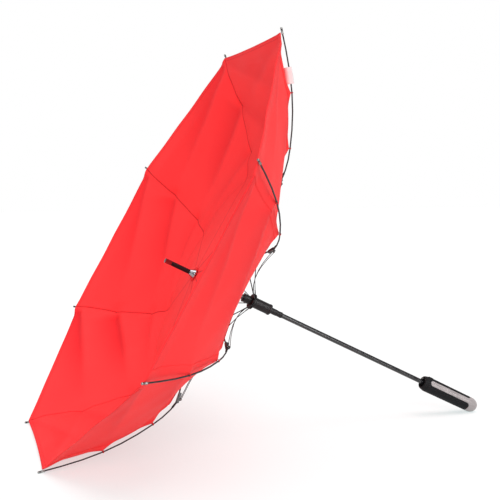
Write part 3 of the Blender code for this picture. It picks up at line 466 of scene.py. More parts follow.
@dataclass(frozen=True)
class WovenPongee(Surface):
    """Polyester pongee, plain woven and dyed: a fine dull cloth with a soft glow along its edge.

    The hem shows as a slightly deeper band with a row of stitches, and each seam as a thin
    dark line of painted shade, because the light that comes through one layer doesn't come through
    three.
    A crease is painted deeper in tone along its bottom: painted shade, where the cloth gets less light
    and lights itself with its own red.
    """

    name: str = "woven_polyester_pongee"
    colour: str = "#ff3739"
    roughness: float = 0.66
    shade: str = "#f5292f"
    # The stitches' colour, and also the colour of the painted shade line along each seam
    thread: str = "#c4202a"
    # The colour of the painted shade along the bottom of each crease
    fold: str = "#d0141f"
    # Real pongee has a thread each 0.12 mm. It is drawn each 0.9 mm, the finest that shows
    spacing: float = 0.0009
    # How wide the painted shade line along each seam is
    seam: float = 0.0013
    hem: float = 0.0085
    stitch_row: float = 0.0068
    stitch_width: float = 0.0004
    stitch: float = 0.0032
    stitch_share: float = 0.72

    def constants(self) -> dict[str, Any]:
        """The inputs of the shader that are the same all over."""
        glow = {"Sheen Weight": 0.05, "Sheen Roughness": 0.4, "Sheen Tint": linear("#ff8f86")}
        return {"Roughness": self.roughness, "Specular IOR Level": 0.16, **glow}

    def patterns(self, tree: Tree) -> dict[str, Source]:
        """The dye, and the height of warp and weft threads.

        Args:
            tree: The material's nodes.

        Returns:
            What feeds the shader, by the name of the input.
        """
        flat = add_node(tree, "UVMap", {"uv_map": "weave"})
        bands = {"Scale": WAVE_BAND / self.spacing, "wave_type": "BANDS", "Distortion": 0.4}
        threads = []
        for way in "XY":
            settings = {**bands, "Detail": 1.0, "bands_direction": way}
            threads.append(add_node(tree, "TexWave", settings, {"Vector": flat}).outputs["Fac"])
        weave = add_node(tree, "Math", {"operation": "MULTIPLY"}, dict(enumerate(threads)))
        relief = {"Strength": 0.5, "Distance": 0.00012}
        return {
            "Base Color": self.colours(tree, flat),
            "Normal": add_node(tree, "Bump", relief, {"Height": weave}),
        }

    def stitches(self, tree: Tree, flat: Source) -> Source:
        """The hem's row of stitches, as dashes.

        Args:
            tree: The material's nodes.
            flat: The place on the flat cloth.

        Returns:
            1 on a stitch and 0 elsewhere.
        """
        from_rim = add_node(tree, "Attribute", {"attribute_name": "from_rim"}).outputs["Fac"]
        across = add_node(tree, "SeparateXYZ", {}, {0: flat}).outputs["X"]
        off = add_node(tree, "Math", {"operation": "SUBTRACT", 1: self.stitch_row}, {0: from_rim})
        near = add_node(tree, "Math", {"operation": "ABSOLUTE"}, {0: off})
        row = add_node(tree, "Math", {"operation": "LESS_THAN", 1: self.stitch_width}, {0: near})
        phase = add_node(tree, "Math", {"operation": "MULTIPLY", 1: 1 / self.stitch}, {0: across})
        part = add_node(tree, "Math", {"operation": "FRACT"}, {0: phase})
        dash = add_node(tree, "Math", {"operation": "LESS_THAN", 1: self.stitch_share}, {0: part})
        return add_node(tree, "Math", {"operation": "MULTIPLY"}, {0: row, 1: dash})

    def colours(self, tree: Tree, flat: Source) -> Source:
        """Dye, hem, painted shade along seams and in creases, and stitches, each laid over the one
        before.

        Args:
            tree: The material's nodes.
            flat: The place on the flat cloth.

        Returns:
            The colour.
        """
        where = add_node(tree, "TexCoord").outputs["Object"]
        cloud = add_node(tree, "TexNoise", {"Scale": 7.0, "Detail": 3.0}, {"Vector": where})
        uneven = dict(zip(LIMITS, (0.35, 0.75, 0.0, 0.28)))
        layers = [(add_node(tree, "MapRange", uneven, {"Value": cloud}), self.shade)]
        for attribute, width, strength, colour in (
            ("from_rim", self.hem, 0.35, self.shade),
            # A thin line of painted shade along each seam, in the thread's colour
            ("from_seam", self.seam, 0.6, self.thread),
        ):
            value = add_node(tree, "Attribute", {"attribute_name": attribute}).outputs["Fac"]
            near = dict(zip(LIMITS, (width, width * 1.06, strength, 0.0)))
            layers.append((add_node(tree, "MapRange", near, {"Value": value}), colour))
        # Painted shade along the bottom of each crease, as strong as the crease is deep
        painted_crease_shade = add_node(tree, "Attribute", {"attribute_name": "painted_crease_shade"}).outputs["Fac"]
        layers += [(painted_crease_shade, self.fold), (self.stitches(tree, flat), self.thread)]
        under = {}
        for share, colour in layers:
            colours = {6: linear(self.colour), 7: linear(colour)}
            mix = add_node(tree, "Mix", {"data_type": "RGBA", **colours}, {0: share, **under})
            under = {6: mix.outputs[2]}
        return mix.outputs[2]


@dataclass(frozen=True)
class WovenTape(Surface):
    """Satin label tape, woven and bare: white, with painted red light from the red cloth near its seam.
    """

    name: str = "woven_white_label_tape"
    colour: str = "#f3efef"
    roughness: float = 0.55
    painted_red_light: str = "#eb8f90"
    # Satin tape has a thread each 0.15 mm, drawn each 0.6 mm so that it shows
    spacing: float = 0.0006

    def constants(self) -> dict[str, Any]:
        """The inputs of the shader that are the same all over."""
        return {"Roughness": self.roughness, "Sheen Weight": 0.3}

    def patterns(self, tree: Tree) -> dict[str, Source]:
        """The pink near the seam, and the height of the weft threads.

        Args:
            tree: The material's nodes.

        Returns:
            The painted red light near the seam, and the height of the weft threads.
        """
        value = add_node(tree, "Attribute", {"attribute_name": "from_seam"}).outputs["Fac"]
        # Painted red light that the cloth throws on the tape, fading away from the seam
        fade = dict(zip(LIMITS, (0.0015, 0.0075, 1.0, 0.0)))
        red_light_share = {0: add_node(tree, "MapRange", fade, {"Value": value})}
        colours = {"data_type": "RGBA", 6: linear(self.colour), 7: linear(self.painted_red_light)}
        flat = add_node(tree, "UVMap", {"uv_map": "weave"})
        bands = {"Scale": WAVE_BAND / self.spacing, "wave_type": "BANDS", "bands_direction": "Y"}
        ribs = add_node(tree, "TexWave", bands, {"Vector": flat}).outputs["Fac"]
        relief = {"Strength": 0.5, "Distance": 0.0001}
        return {
            "Base Color": add_node(tree, "Mix", colours, red_light_share).outputs[2],
            "Normal": add_node(tree, "Bump", relief, {"Height": ribs}),
        }


@dataclass(frozen=True)
class LitPaint(Surface):
    """Matt paint on a lit table: its own colour and its glow make white.

    The red that the object throws on it shows less for the glow.
    """

    name: str = "matt_white_paint"
    colour: str = "#b1a4a4"
    roughness: float = 0.9
    glow: tuple[float, float, float] = (0.50, 0.60, 0.60)
    glow_on_object: float = 0.85

    def constants(self) -> dict[str, Any]:
        """The inputs of the shader that are the same all over."""
        plain = {"Base Color": linear(self.colour), "Emission Color": (*self.glow, 1)}
        return {"Roughness": self.roughness, "Specular IOR Level": 0.0, **plain}

    def patterns(self, tree: Tree) -> dict[str, Source]:
        """Its full glow for the camera and for reflections, and less for what it lights.

        Args:
            tree: The material's nodes.

        Returns:
            What feeds the shader, by the name of the input.
        """
        path = add_node(tree, "LightPath").outputs
        rays = {0: path["Is Camera Ray"], 1: path["Is Glossy Ray"]}
        shine = add_node(tree, "Math", {"operation": "MAXIMUM"}, rays)
        glow = {"To Min": self.glow_on_object, "To Max": 1.0}
        return {"Emission Strength": add_node(tree, "MapRange", glow, {"Value": shine})}


# Polyester cloth, dull and evenly dyed
CLOTH = WovenPongee()
LABEL_TAPE = WovenTape()
# Glass-fibre rod pulled through a die: dark grey, satin, with faint lengthwise streaks
FIBREGLASS = Finish("pultruded_fibreglass", "#242326", 0.42, Way.DRAWN, grain=0.0008, specular=0.35)
# Steel tube under baked powder: black and glossy, with a faint orange peel
POWDER_COAT = Finish(
    "powder_coated_steel", "#131215", 0.2, Way.COATED, grain=0.0010, depth=0.00001, coat=0.45
)
# Spring wire, drawn and left bare: grey metal with a dull shine
SPRING_WIRE = Finish("drawn_spring_steel", "#a19d99", 0.34, Way.DRAWN, metallic=1.0)
# ABS moulded with a fine spark-eroded texture: black, half matt
ABS = Finish("moulded_black_abs", "#141315", 0.45, Way.MOULDED, specular=0.3)
# Rubber paint over ABS: black, fully matt and soft to the touch
SOFT_TOUCH = Finish("soft_touch_coated_abs", "#141416", 0.62, Way.COATED, grain=0.0015, specular=0.16)
# ABS moulded and sprayed in satin grey: smooth and half matt
GREY_TRIM = Finish(
    "satin_sprayed_grey_abs", "#9c9696", 0.4, Way.MOULDED, depth=0.00002, specular=0.35
)
# Brass, polished and chromed: a mirror for the red cloth around it
CHROME = Finish("polished_chromed_brass", "#98969a", 0.1, Way.POLISHED, metallic=1.0)
# Steel caps, nickelled in a barrel: silver with a soft shine
NICKEL = Finish("barrel_nickelled_steel", "#8f8d8b", 0.34, Way.DRAWN, metallic=1.0)
# Spun polyester sewing thread, dull and red
THREAD = Finish("spun_polyester_thread", "#c2232a", 0.8, Way.DRAWN, grain=0.0006, depth=0.0001)


@dataclass
class UmbrellaFrame:
    """The umbrella's own frame: zero at the base of the ferrule cone, +Z to the ferrule."""

    base: Vector
    up: Vector
    out: Vector
    bends: list[float]
    crown_hinge_height: float = -0.010

    @classmethod
    def from_joints(cls, joints: Sequence[Mapping[str, Any]]) -> "UmbrellaFrame":
        """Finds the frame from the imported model's joints.

        Args:
            joints: The joints of the record.

        Returns:
            The frame, with how far each outer rib is bent more than the first.
        """
        named = {joint["name"]: joint for joint in joints}
        ribs = range(1, RIBS + 1)
        hinges = [Vector(named[f"rib_hinge_{rib}"]["pos_m"]) for rib in ribs]
        limits = [named[f"outer_rib_hinge_{rib}"]["range_deg"][1] for rib in ribs]
        up = -Vector(named["runner_slide"]["axis"]).normalized()
        out = -Vector(named["button_press"]["axis"]).normalized()
        base = sum(hinges, Vector()) / RIBS - cls.crown_hinge_height * up
        return cls(base, up, out, [math.radians(limit - min(limits)) for limit in limits])

    def matrix(self) -> Matrix:
        """Carries the umbrella's own frame into the world."""
        turn = Matrix((self.out, self.up.cross(self.out), self.up)).transposed().to_4x4()
        return Matrix.Translation(self.base) @ turn

    def rib(self, rib: int) -> Matrix:
        """Carries the plane of a rib, counted from 0, into the world."""
        return self.matrix() @ Matrix.Rotation(-HALF_SPOKE * (2 * rib + 1), 4, "Z")

    def gore(self, gore: int) -> Matrix:
        """Carries a gore's own frame, halfway between ribs gore and gore + 1, into the world."""
        return self.matrix() @ Matrix.Rotation(-HALF_SPOKE * (2 * gore + 2), 4, "Z")


@dataclass
class RibPlane:
    """Where the rods and the cloth's edge run, in the plane of a rib."""

    seat: Point = (0.0180, -0.0020)
    clip: Point = (0.2619, -0.0535)
    lug: Point = (0.2579, -0.0583)
    inner_tie: Point = (0.3295, -0.0349)
    outer_tie: Point = (0.4277, 0.0206)
    tip: Point = (0.5250, 0.1040)
    fold_rise: float = 0.0120
    tie_offset: float = 0.0028
    corner_offset: float = 0.0036
    corner_back: float = 0.0090
    tip_slope: float = math.radians(44)
    ease_reach: float = 0.060
    # The pull of the cloth lifts a seam off its bent rod, and each tie draws it back in a point
    lift: float = 0.0070
    lift_reach: float = 0.045
    draw_reach: float = 0.030
    steps: int = 24
    inner_steps: int = 12

    def slopes(self) -> tuple[float, float, float]:
        """The rod's slope at the inner tie, the outer tie and the tip."""
        return slope(self.clip, self.outer_tie), slope(self.inner_tie, self.tip), self.tip_slope

    def marks(self) -> list[Point]:
        """Where the cloth's edge is held on a rib that isn't bent over.

        Returns:
            The fold, both ties and the corner.
        """
        back = np.array([math.cos(self.tip_slope), math.sin(self.tip_slope)]) * self.corner_back
        held = [self.inner_tie, self.outer_tie, tuple(np.array(self.tip) - back)]
        lifts = [self.tie_offset, self.tie_offset, self.corner_offset]
        made = [(self.clip[0], self.clip[1] + self.fold_rise)]
        for (out, up), angle, lift in zip(held, self.slopes(), lifts):
            made.append((out - lift * math.sin(angle), up + lift * math.cos(angle)))
        return made

    def fold_slope(self) -> float:
        """The slope in which cloth passes the fold, the same on both of its sides."""
        fold, tie = self.marks()[:2]
        return (slope(self.seat, fold) + slope(fold, tie)) / 2

    def outer_edge(self, bend: float) -> tuple[Array, Array]:
        """The cloth's edge from the fold to the corner.

        Args:
            bend: How far this rib's outer rod is bent over, in radians.

        Returns:
            The edge without the pull of the ties, and how far the ties move each of its points.
        """
        fold, *held = self.marks()
        knots = [fold] + [tuple(p) for p in turned_about(held, self.clip, bend)]
        spans = [slope(knots[i], knots[i + 1]) for i in range(3)]
        turns = [self.fold_slope()] + [(spans[i] + spans[i + 1]) / 2 for i in (0, 1)]
        line = hermite(knots, turns, [*turns[1:], spans[2]], self.steps)
        run = run_along(line)
        ahead = np.gradient(line, run, axis=0)
        lifted = smooth_step(run / self.lift_reach) * smooth_step((run[-1] - run) / self.lift_reach)
        rise = self.lift * lifted[:, None] * stacked(-ahead[:, 1], ahead[:, 0])
        off_tie = np.abs(run[:, None] - run[[self.steps, 2 * self.steps]])
        drawn = np.clip(1 - off_tie / self.draw_reach, 0, 1).max(axis=1) ** 1.5
        return line + rise, -rise * drawn[:, None]

    def tie_shares(self) -> tuple[float, float]:
        """The shares of the edge's length at which the ties hold it."""
        run = run_along(self.outer_edge(0.0)[0])
        return run[self.steps] / run[-1], run[2 * self.steps] / run[-1]

    def inner_edge(self) -> Array:
        """The cloth's edge from the seat on the crown to the fold.

        Returns:
            Its points, straight at first and then eased into the fold.
        """
        fold, reach = self.marks()[0], self.ease_reach
        straight = slope(self.seat, fold)
        ease = (fold[0] - reach * math.cos(straight), fold[1] - reach * math.sin(straight))
        arrive = [straight, self.fold_slope()]
        return hermite([self.seat, ease, fold], [straight] * 2, arrive, self.inner_steps)


@dataclass(frozen=True)
class Crease:
    """A soft valley that the pull between two ribs draws in a gore.

    It starts at a share of the cloth's length on the upper rib, where it is deepest, and runs to
    a share of the lower rib. It is steep towards the fold, within steep_reach, and runs out
    gently towards the rim.
    """

    upper: float
    lower: float
    upper_is_near: bool
    depth: float
    steep_reach: float
    reach: float


class Pull(Enum):
    """Which rib of a gore is the upper one, from which the creases run down."""

    NEAR = "near"
    FAR = "far"
    BOTH = "both"


@dataclass
class Canopy:
    """Eight gores of cloth, each in one piece outside the fold and one inside it.

    Every gore is a tensioned sheet between its ribs, with the bow of the fold, a rim that is
    pulled in, the creases of its own pull and some slight waves. Neighbours share their seams.
    """

    frame: UmbrellaFrame
    plane: RibPlane
    seam_gap: float = 0.0006
    cloth: float = 0.0004
    fold_bow: float = 0.009
    fold_reach: float = 0.120
    rim_bow: float = 0.003
    tie_width: float = 0.040
    span_rows: tuple[int, int, int] = (14, 20, 22)
    inner_rows: int = 25
    columns: int = 57
    lap_rows: int = 3
    lap_lay: float = 0.0011
    hole: float = 0.0072
    # The upper rib of each gore, and how strong its creases are: the photo's are in the fifth
    pulls: tuple[tuple[Pull, float], ...] = (
        (Pull.NEAR, 0.35),
        (Pull.NEAR, 0.45),
        (Pull.NEAR, 0.50),
        (Pull.BOTH, 0.70),
        (Pull.FAR, 1.00),
        (Pull.FAR, 0.70),
        (Pull.FAR, 0.60),
        (Pull.BOTH, 0.60),
    )
    # How strongly the painted shade of a crease follows its depth
    crease_shade_strength: float = 80.0
    crease_round: float = 0.0025
    # A crease comes in over the first of these shares of its run, and fades out from the second
    crease_run: tuple[float, float] = (0.07, 0.3)
    outer_waves: float = 0.0013
    inner_waves: float = 0.0011
    wave_lengths: tuple[float, float] = (0.115, 0.071)
    # Creases and waves come in over this distance from a rib, and this share from the fold
    rib_margin: float = 0.020
    fold_margin: float = 0.12
    outer: list[Array] = field(default_factory=list)
    inner: list[Array] = field(default_factory=list)

    def across(self) -> Array:
        """The places of the columns, from 0 at the near rib to 1 at the far one, closer at both."""
        even = np.linspace(0, 1, self.columns)
        return even - 0.5 * np.sin(2 * math.pi * even) / (2 * math.pi)

    def between_ribs(self, near: Array, far: Array) -> Array:
        """Straight chords between two edges.

        Args:
            near: The near edge's radius and height at each place, as rows, columns, 2.
            far: The far edge's.

        Returns:
            Points in the gore's own frame.
        """
        t = self.across()[None, :, None]
        sides = []
        for edge, side in ((near, 1), (far, -1)):
            wide = edge[..., 0] * math.sin(HALF_SPOKE) - self.seam_gap / 2
            sides.append(stacked(edge[..., 0] * math.cos(HALF_SPOKE), side * wide, edge[..., 1]))
        return sides[0] * (1 - t) + sides[1] * t

    @staticmethod
    def at_shares(edge: Array, pairs: Array, share: Array) -> Array:
        """What pairs of values along an edge are at shares of its length."""
        run = run_along(edge) / run_along(edge)[-1]
        return np.stack([np.interp(share, run, pairs[:, i]) for i in (0, 1)], axis=-1)

    def bow(self, away: Array) -> Array:
        """How far the cloth at a distance from the fold rises, halfway between ribs."""
        return self.fold_bow * (1 - np.clip(away / self.fold_reach, 0, 1) ** 2) ** 2

    @staticmethod
    def normals(points: Array) -> Array:
        """The cloth's normals.

        Args:
            points: A grid of points.

        Returns:
            A direction towards the ferrule at each of them.
        """
        normal = np.cross(np.gradient(points, axis=0), np.gradient(points, axis=1))
        normal *= np.where(normal[..., 2:] < 0, -1, 1)
        return normal / np.maximum(np.linalg.norm(normal, axis=-1, keepdims=True), 1e-9)

    @staticmethod
    def flat_places(points: Array) -> tuple[Array, Array]:
        """Each point's place on the flat cloth.

        Args:
            points: The gore's grid.

        Returns:
            How far it is across from the gore's middle, and how far down from its first row.
        """
        run = Canopy.run_across(points)
        down = run_along(points[:, points.shape[1] // 2])
        return run - run[:, -1:] / 2, np.repeat(down[:, None], points.shape[1], axis=1)

    @staticmethod
    def run_across(points: Array) -> Array:
        """The length that each row of a grid has run at each of its points."""
        run = np.cumsum(np.linalg.norm(np.diff(points, axis=1), axis=-1), axis=1)
        return np.concatenate([np.zeros((len(points), 1)), run], axis=1)

    def creases(self, gore: int) -> list[Crease]:
        """The creases of an outer gore: from corner to tie and from tie to tie, downwards.

        Args:
            gore: The gore, counted from 0.

        Returns:
            Its creases.
        """
        tie, far_tie = self.plane.tie_shares()
        # The upper end, the lower end, the depth and both reaches
        lines = (
            (0.985, far_tie, 0.0095, 0.014, 0.090),
            (far_tie, tie, 0.0095, 0.014, 0.080),
            (tie, 0.04, 0.0040, 0.013, 0.040),
        )
        pull, share = self.pulls[gore]
        sides = {Pull.NEAR: (True,), Pull.FAR: (False,), Pull.BOTH: (True, False)}[pull]
        return [
            Crease(upper, lower, is_near, share * depth / len(sides), *reaches)
            for upper, lower, depth, *reaches in lines
            for is_near in sides
        ]

    def valley(self, crease: Crease, across: Array, down: Array) -> Array:
        """How deep a crease is at each place of the flat cloth.

        Args:
            crease: The crease.
            across: Places across the gore.
            down: Places down the gore.

        Returns:
            The depth in metres.
        """
        ends = []
        shares = (crease.upper, crease.lower) if crease.upper_is_near else (crease.lower, crease.upper)
        for share, column in zip(shares, (0, -1)):
            at = share * down[-1, column]
            ends.append(np.array([np.interp(at, down[:, column], across[:, column]), at]))
        line = ends[1] - ends[0]
        length = np.linalg.norm(line)
        line = line / length
        off = stacked(across - ends[0][0], down - ends[0][1])
        run = off @ line
        # Above 0 on the side of the fold
        side = off[..., 0] * line[1] - off[..., 1] * line[0]
        reach = np.where(side > 0, crease.steep_reach, crease.reach)
        rounded = np.hypot(side, self.crease_round) - self.crease_round
        tent = np.clip(1 - rounded / reach, 0, 1) ** np.where(side > 0, 1.2, 1.7)
        run = run / length if crease.upper_is_near else 1 - run / length
        start, end = self.crease_run
        fade = smooth_step(run / start) * (1 - smooth_step((run - end) / (1 - end)))
        return crease.depth * tent * fade

    def folds(self, gore: int, across: Array, down: Array) -> Array:
        """How deep all creases of an outer gore are together."""
        return sum(self.valley(crease, across, down) for crease in self.creases(gore))

    def waves(self, gore: int, across: Array, down: Array, size: float) -> Array:
        """Slight waves of cloth that isn't equally taut.

        Args:
            gore: A number that makes them different in each gore.
            across: Places across the gore.
            down: Places down the gore.
            size: How high they are.

        Returns:
            The height in metres.
        """
        phase = 1.7 * gore
        long, short = self.wave_lengths
        slow = np.sin(2 * math.pi * (0.9 * across + 0.35 * down) / long + phase)
        quick = np.sin(2 * math.pi * (0.5 * across - 0.8 * down) / short + 2.3 * phase)
        return size * (0.6 * slow + 0.4 * quick)

    def outer_grid(self, gore: int) -> Array:
        """The cloth of one gore outside the fold.

        Args:
            gore: The gore, counted from 0.

        Returns:
            Its grid of points in the gore's own frame.
        """
        bends = [self.frame.bends[rib % RIBS] for rib in (gore, gore + 1)]
        (near, near_draw), (far, far_draw) = map(self.plane.outer_edge, bends)
        reach = run_along(near)[-1]
        t = self.across()[None]
        hollow = 4 * t * (1 - t)
        s = self.rows()[:, None]
        share = (1 - self.rim_bow / reach * hollow) * s
        points = self.between_ribs(
            self.at_shares(near, near, share), self.at_shares(far, far, share)
        )
        points[..., 2] += hollow * self.bow(s * reach)
        across, down = self.flat_places(points)
        width = across[:, -1:] - across[:, :1]
        off_rib = np.minimum(t, 1 - t) * np.abs(width)
        waves = self.waves(gore, across, down, self.outer_waves)
        push = waves * np.sin(math.pi * np.clip(1.3 * s, 0, 1) / 1.3)
        push = push - self.folds(gore, across, down)
        push = push * smooth_step(off_rib / self.rib_margin) * smooth_step(s / self.fold_margin)
        points = points + self.normals(points) * push[..., None]
        drawn = (1 - smooth_step(off_rib / self.tie_width)) ** 2
        for edge, draw, side in ((near, near_draw, 1), (far, far_draw, -1)):
            along = self.at_shares(edge, draw, s)
            out = np.array([math.cos(HALF_SPOKE), side * math.sin(HALF_SPOKE), 0])
            move = along[..., :1] * out + along[..., 1:] * np.array([0, 0, 1.0])
            here = drawn * (t < 0.5 if side > 0 else t >= 0.5)
            points = points + here[..., None] * move
        return points

    def rows(self) -> Array:
        """The shares of the length at which the rows are, with one row at each tie.

        Returns:
            Shares from 0 at the fold to 1 at the rim.
        """
        stops = [0.0, *self.plane.tie_shares(), 1.0]
        spans = zip(stops, stops[1:], self.span_rows)
        made = [np.linspace(start, end, rows + 1)[1:] for start, end, rows in spans]
        return np.concatenate([[0.0], *made])

    def inner_grid(self, gore: int) -> Array:
        """The cloth of one gore inside the fold.

        Args:
            gore: The gore, counted from 0.

        Returns:
            Its grid of points in the gore's own frame, from the hole at the crown.
        """
        edge = self.plane.inner_edge()
        reach = run_along(edge)[-1]
        t = self.across()[None]
        s = np.linspace(0, 1, self.inner_rows - 1)[:, None]
        line = self.at_shares(edge, edge, s + 0 * t)
        points = self.between_ribs(line, line)
        points[..., 2] += 4 * t * (1 - t) * self.bow((1 - s) * reach)
        mask = smooth_step(np.minimum(t, 1 - t) * 5) * np.sin(math.pi * s) ** 0.7
        push = self.waves(gore + 3, *self.flat_places(points), self.inner_waves) * mask
        points = points + self.normals(points) * push[..., None]
        ring = np.full((1, self.columns, 2), (self.hole / math.cos(HALF_SPOKE), self.plane.seat[1]))
        return np.concatenate([self.between_ribs(ring, ring), points])

    def lap(self, gore: int) -> Array:
        """Where the inner cloth goes on below the outer one past the fold, so that none opens."""
        under = self.outer[gore] - self.lap_lay * self.normals(self.outer[gore])
        return under[1 : 1 + self.lap_rows]

    def piece(self, name: str, gore: int, grid: Array, place: Matrix, rim: bool) -> bpy.types.Object:
        """Makes one piece of cloth.

        Args:
            name: The piece's name.
            gore: The gore, counted from 0.
            grid: Its points in the gore's own frame.
            place: Carries that frame into the world.
            rim: Whether its last row is the hem.

        Returns:
            The piece.
        """
        across, down = self.flat_places(grid)
        values = {
            "from_seam": np.abs(across[:, :1]) - np.abs(across),
            "from_rim": down[-1:] - down if rim else 1.0,
            # The painted shade of the creases comes from their depth
            "painted_crease_shade": self.crease_shade_strength * self.folds(gore, across, down) if rim else 0.0,
        }
        return sheet_object(name, in_world(grid, place), CLOTH, (across, down), values, self.cloth)

    @staticmethod
    def area(grid: Array) -> float:
        """The surface of a grid in square metres."""
        a, b = grid[1:, 1:] - grid[:-1, :-1], grid[1:, :-1] - grid[:-1, 1:]
        return float(np.linalg.norm(np.cross(a, b), axis=-1).sum() / 2)

    def declare(self, piece: bpy.types.Object, grid: Array) -> None:
        """Logs how large the piece's cloth was cut, and its area.

        Args:
            piece: The piece.
            grid: Its points.
        """
        width = float(np.linalg.norm(grid[:, 0] - grid[:, -1], axis=-1).max())
        length = float(run_along(grid[:, grid.shape[1] // 2])[-1])
        length = max(length, self.area(grid) / width / 0.999)
        LOG.info("%s: cut %.3f x %.3f m, %.4f square metres", piece.name, width, length, self.area(grid))

    def build(self) -> None:
        """Makes all gores and their seams, and sets them on their bodies."""
        for gore in range(RIBS):
            self.outer.append(self.outer_grid(gore))
            self.inner.append(self.inner_grid(gore))
        seams = Seams(self)
        for rib in range(RIBS):
            seams.build(rib)
        for gore in range(RIBS):
            self.hang(gore)

    def hang(self, gore: int) -> None:
        """Makes the two pieces of one gore and hangs them on the gore's bodies.

        Args:
            gore: The gore, counted from 0.
        """
        number, after = gore + 1, (gore + 1) % RIBS + 1
        place = self.frame.gore(gore)
        inner = np.concatenate([self.inner[gore], self.lap(gore)])
        # Each one's grid, root, whether it has the hem, how narrow it folds, and the seam on it
        parts = (
            ("outer", self.outer[gore], self.plane.marks()[0], True, 0.11, "seam_tape"),
            ("inner", inner, self.plane.seat, False, 0.14, "crown_seam"),
        )
        for part, grid, root, rim, keep, seam in parts:
            piece = self.piece(f"{part}_cloth_{number}", gore, grid, place, rim)
            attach(piece, f"{part}_gore_{number}")
            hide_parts(f"{part}_gore_{number}")
            self.declare(piece, grid)
            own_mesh(piece)


@dataclass
class Seams:
    """The seam allowances on the side of the ribs, and the threads that tie cloth to rods."""

    canopy: Canopy
    lay: float = 0.0006
    thickness: float = 0.0003
    outer_half: tuple[float, float] = (0.0080, 0.0200)
    inner_half: tuple[float, float] = (0.0030, 0.0045)
    parts: tuple[float, ...] = (0.25, 0.5, 0.75, 1.0)
    thread: float = 0.00035
    turns: int = 3
    pitch: float = 0.0008
    # A loop of thread: how far its middle is above the rod's, its half height and half width
    loop: tuple[float, float, float] = (0.0010, 0.0030, 0.0021)

    @staticmethod
    def beside(grid: Array, column: int, wide: Array) -> Array:
        """Points of a gore's grid at distances from one of its ribs.

        Args:
            grid: The gore's points in the world.
            column: 0 for the near rib or -1 for the far one.
            wide: The distance for each row.

        Returns:
            One point a row.
        """
        rows = grid if column == 0 else grid[:, ::-1]
        places = zip(wide, Canopy.run_across(rows), rows)
        return np.array(
            [[np.interp(at, run, row[:, axis]) for axis in range(3)] for at, run, row in places]
        )

    def tape(
        self, name: str, rib: int, grids: list[Array], half: tuple[float, float]
    ) -> bpy.types.Object:
        """The folded-over cloth along one rib, laid close under both gores.

        Args:
            name: The piece's name.
            rib: The rib, counted from 0.
            grids: The grids of all gores on this side of the fold.
            half: Its half width at the first row and at the last.

        Returns:
            The piece.
        """
        frame, before = self.canopy.frame, (rib - 1) % RIBS
        near = in_world(grids[rib], frame.gore(rib))
        far = in_world(grids[before], frame.gore(before))
        wide = np.linspace(*half, len(near))
        sides = [self.beside(far, -1, wide * part) for part in reversed(self.parts)]
        sides += [(near[:, 0] + far[:, -1]) / 2]
        sides += [self.beside(near, 0, wide * part) for part in self.parts]
        strip = np.stack(sides, axis=1)
        normal = self.canopy.normals(strip)
        normal = normal * np.sign(np.sum(normal * np.array(frame.up), axis=-1, keepdims=True))
        strip = strip - normal * self.lay
        flat, values = self.canopy.flat_places(strip), {"from_seam": 1.0, "from_rim": 1.0}
        piece = sheet_object(name, strip, CLOTH, flat, values, self.thickness)
        return piece

    def ties(self, rib: int) -> bpy.types.Object:
        """Turns of thread around rod and cloth at both ties of one rib.

        Args:
            rib: The rib, counted from 0.

        Returns:
            The piece.
        """
        plane, frame = self.canopy.plane, self.canopy.frame
        middle, rise, wide = self.loop
        t = np.linspace(0, 2 * math.pi * self.turns, 16 * self.turns + 1)
        along = self.pitch * (t / (2 * math.pi) - self.turns / 2)
        above = middle + rise * np.cos(t)
        loops = []
        for mark, angle in zip((plane.inner_tie, plane.outer_tie), plane.slopes()):
            x, z = turned_about([mark], plane.clip, frame.bends[rib])[0]
            c, s = math.cos(angle + frame.bends[rib]), math.sin(angle + frame.bends[rib])
            loop = stacked(x + along * c - above * s, wide * np.sin(t), z + along * s + above * c)
            loops.append(tube(in_world(loop, frame.rib(rib)), self.thread, 6))
        return mesh_object(f"tie_threads_{rib + 1}", *joined(loops), THREAD.material())

    def build(self, rib: int) -> None:
        """Makes one rib's seams and ties, and sets them on the rib.

        Args:
            rib: The rib, counted from 0.
        """
        number = rib + 1
        outer = self.tape(f"seam_tape_{number}", rib, self.canopy.outer, self.outer_half)
        inner = self.tape(f"crown_seam_{number}", rib, self.canopy.inner, self.inner_half)
        threads = self.ties(rib)
        for piece, body in ((outer, "outer"), (inner, "inner"), (threads, "outer")):
            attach(piece, f"{body}_rib_{number}")


@dataclass(frozen=True)
class Coil:
    """A compression spring: the node in whose place it stands, and how it is wound."""

    node: str
    joint: str
    foot: tuple[float, float, float]
    length: float
    radius: float
    wire: float
    turns: int
    steps: int
    # The share of its length that it keeps at the joint's far limit
    keep: float
    # Shares of the wire, and the share of the length that each has reached
    wound: tuple[Sequence[float], Sequence[float]] = ((0, 1), (0, 1))
    # The order of axes that lays the coil's own +Z along its direction in the umbrella
    axes: tuple[int, int, int] = (0, 1, 2)


# In the shaft, with close turns at both ends
OPENING_SPRING = Coil(
    "opening_spring",
    "runner_slide",
    foot=(0, 0, -0.6892),
    length=0.5224,
    radius=0.0037,
    wire=0.0005,
    turns=60,
    steps=12,
    keep=0.283,
    wound=((0, 0.04, 0.96, 1), (0, 0.006, 0.994, 1)),
)
# Under the tail of the catch
CATCH_SPRING = Coil(
    "catch_spring",
    "button_press",
    foot=(0.0057, 0, -0.6045),
    length=0.0021,
    radius=0.0013,
    wire=0.0002,
    turns=4,
    steps=16,
    keep=0.35,
    axes=(2, 1, 0),
)


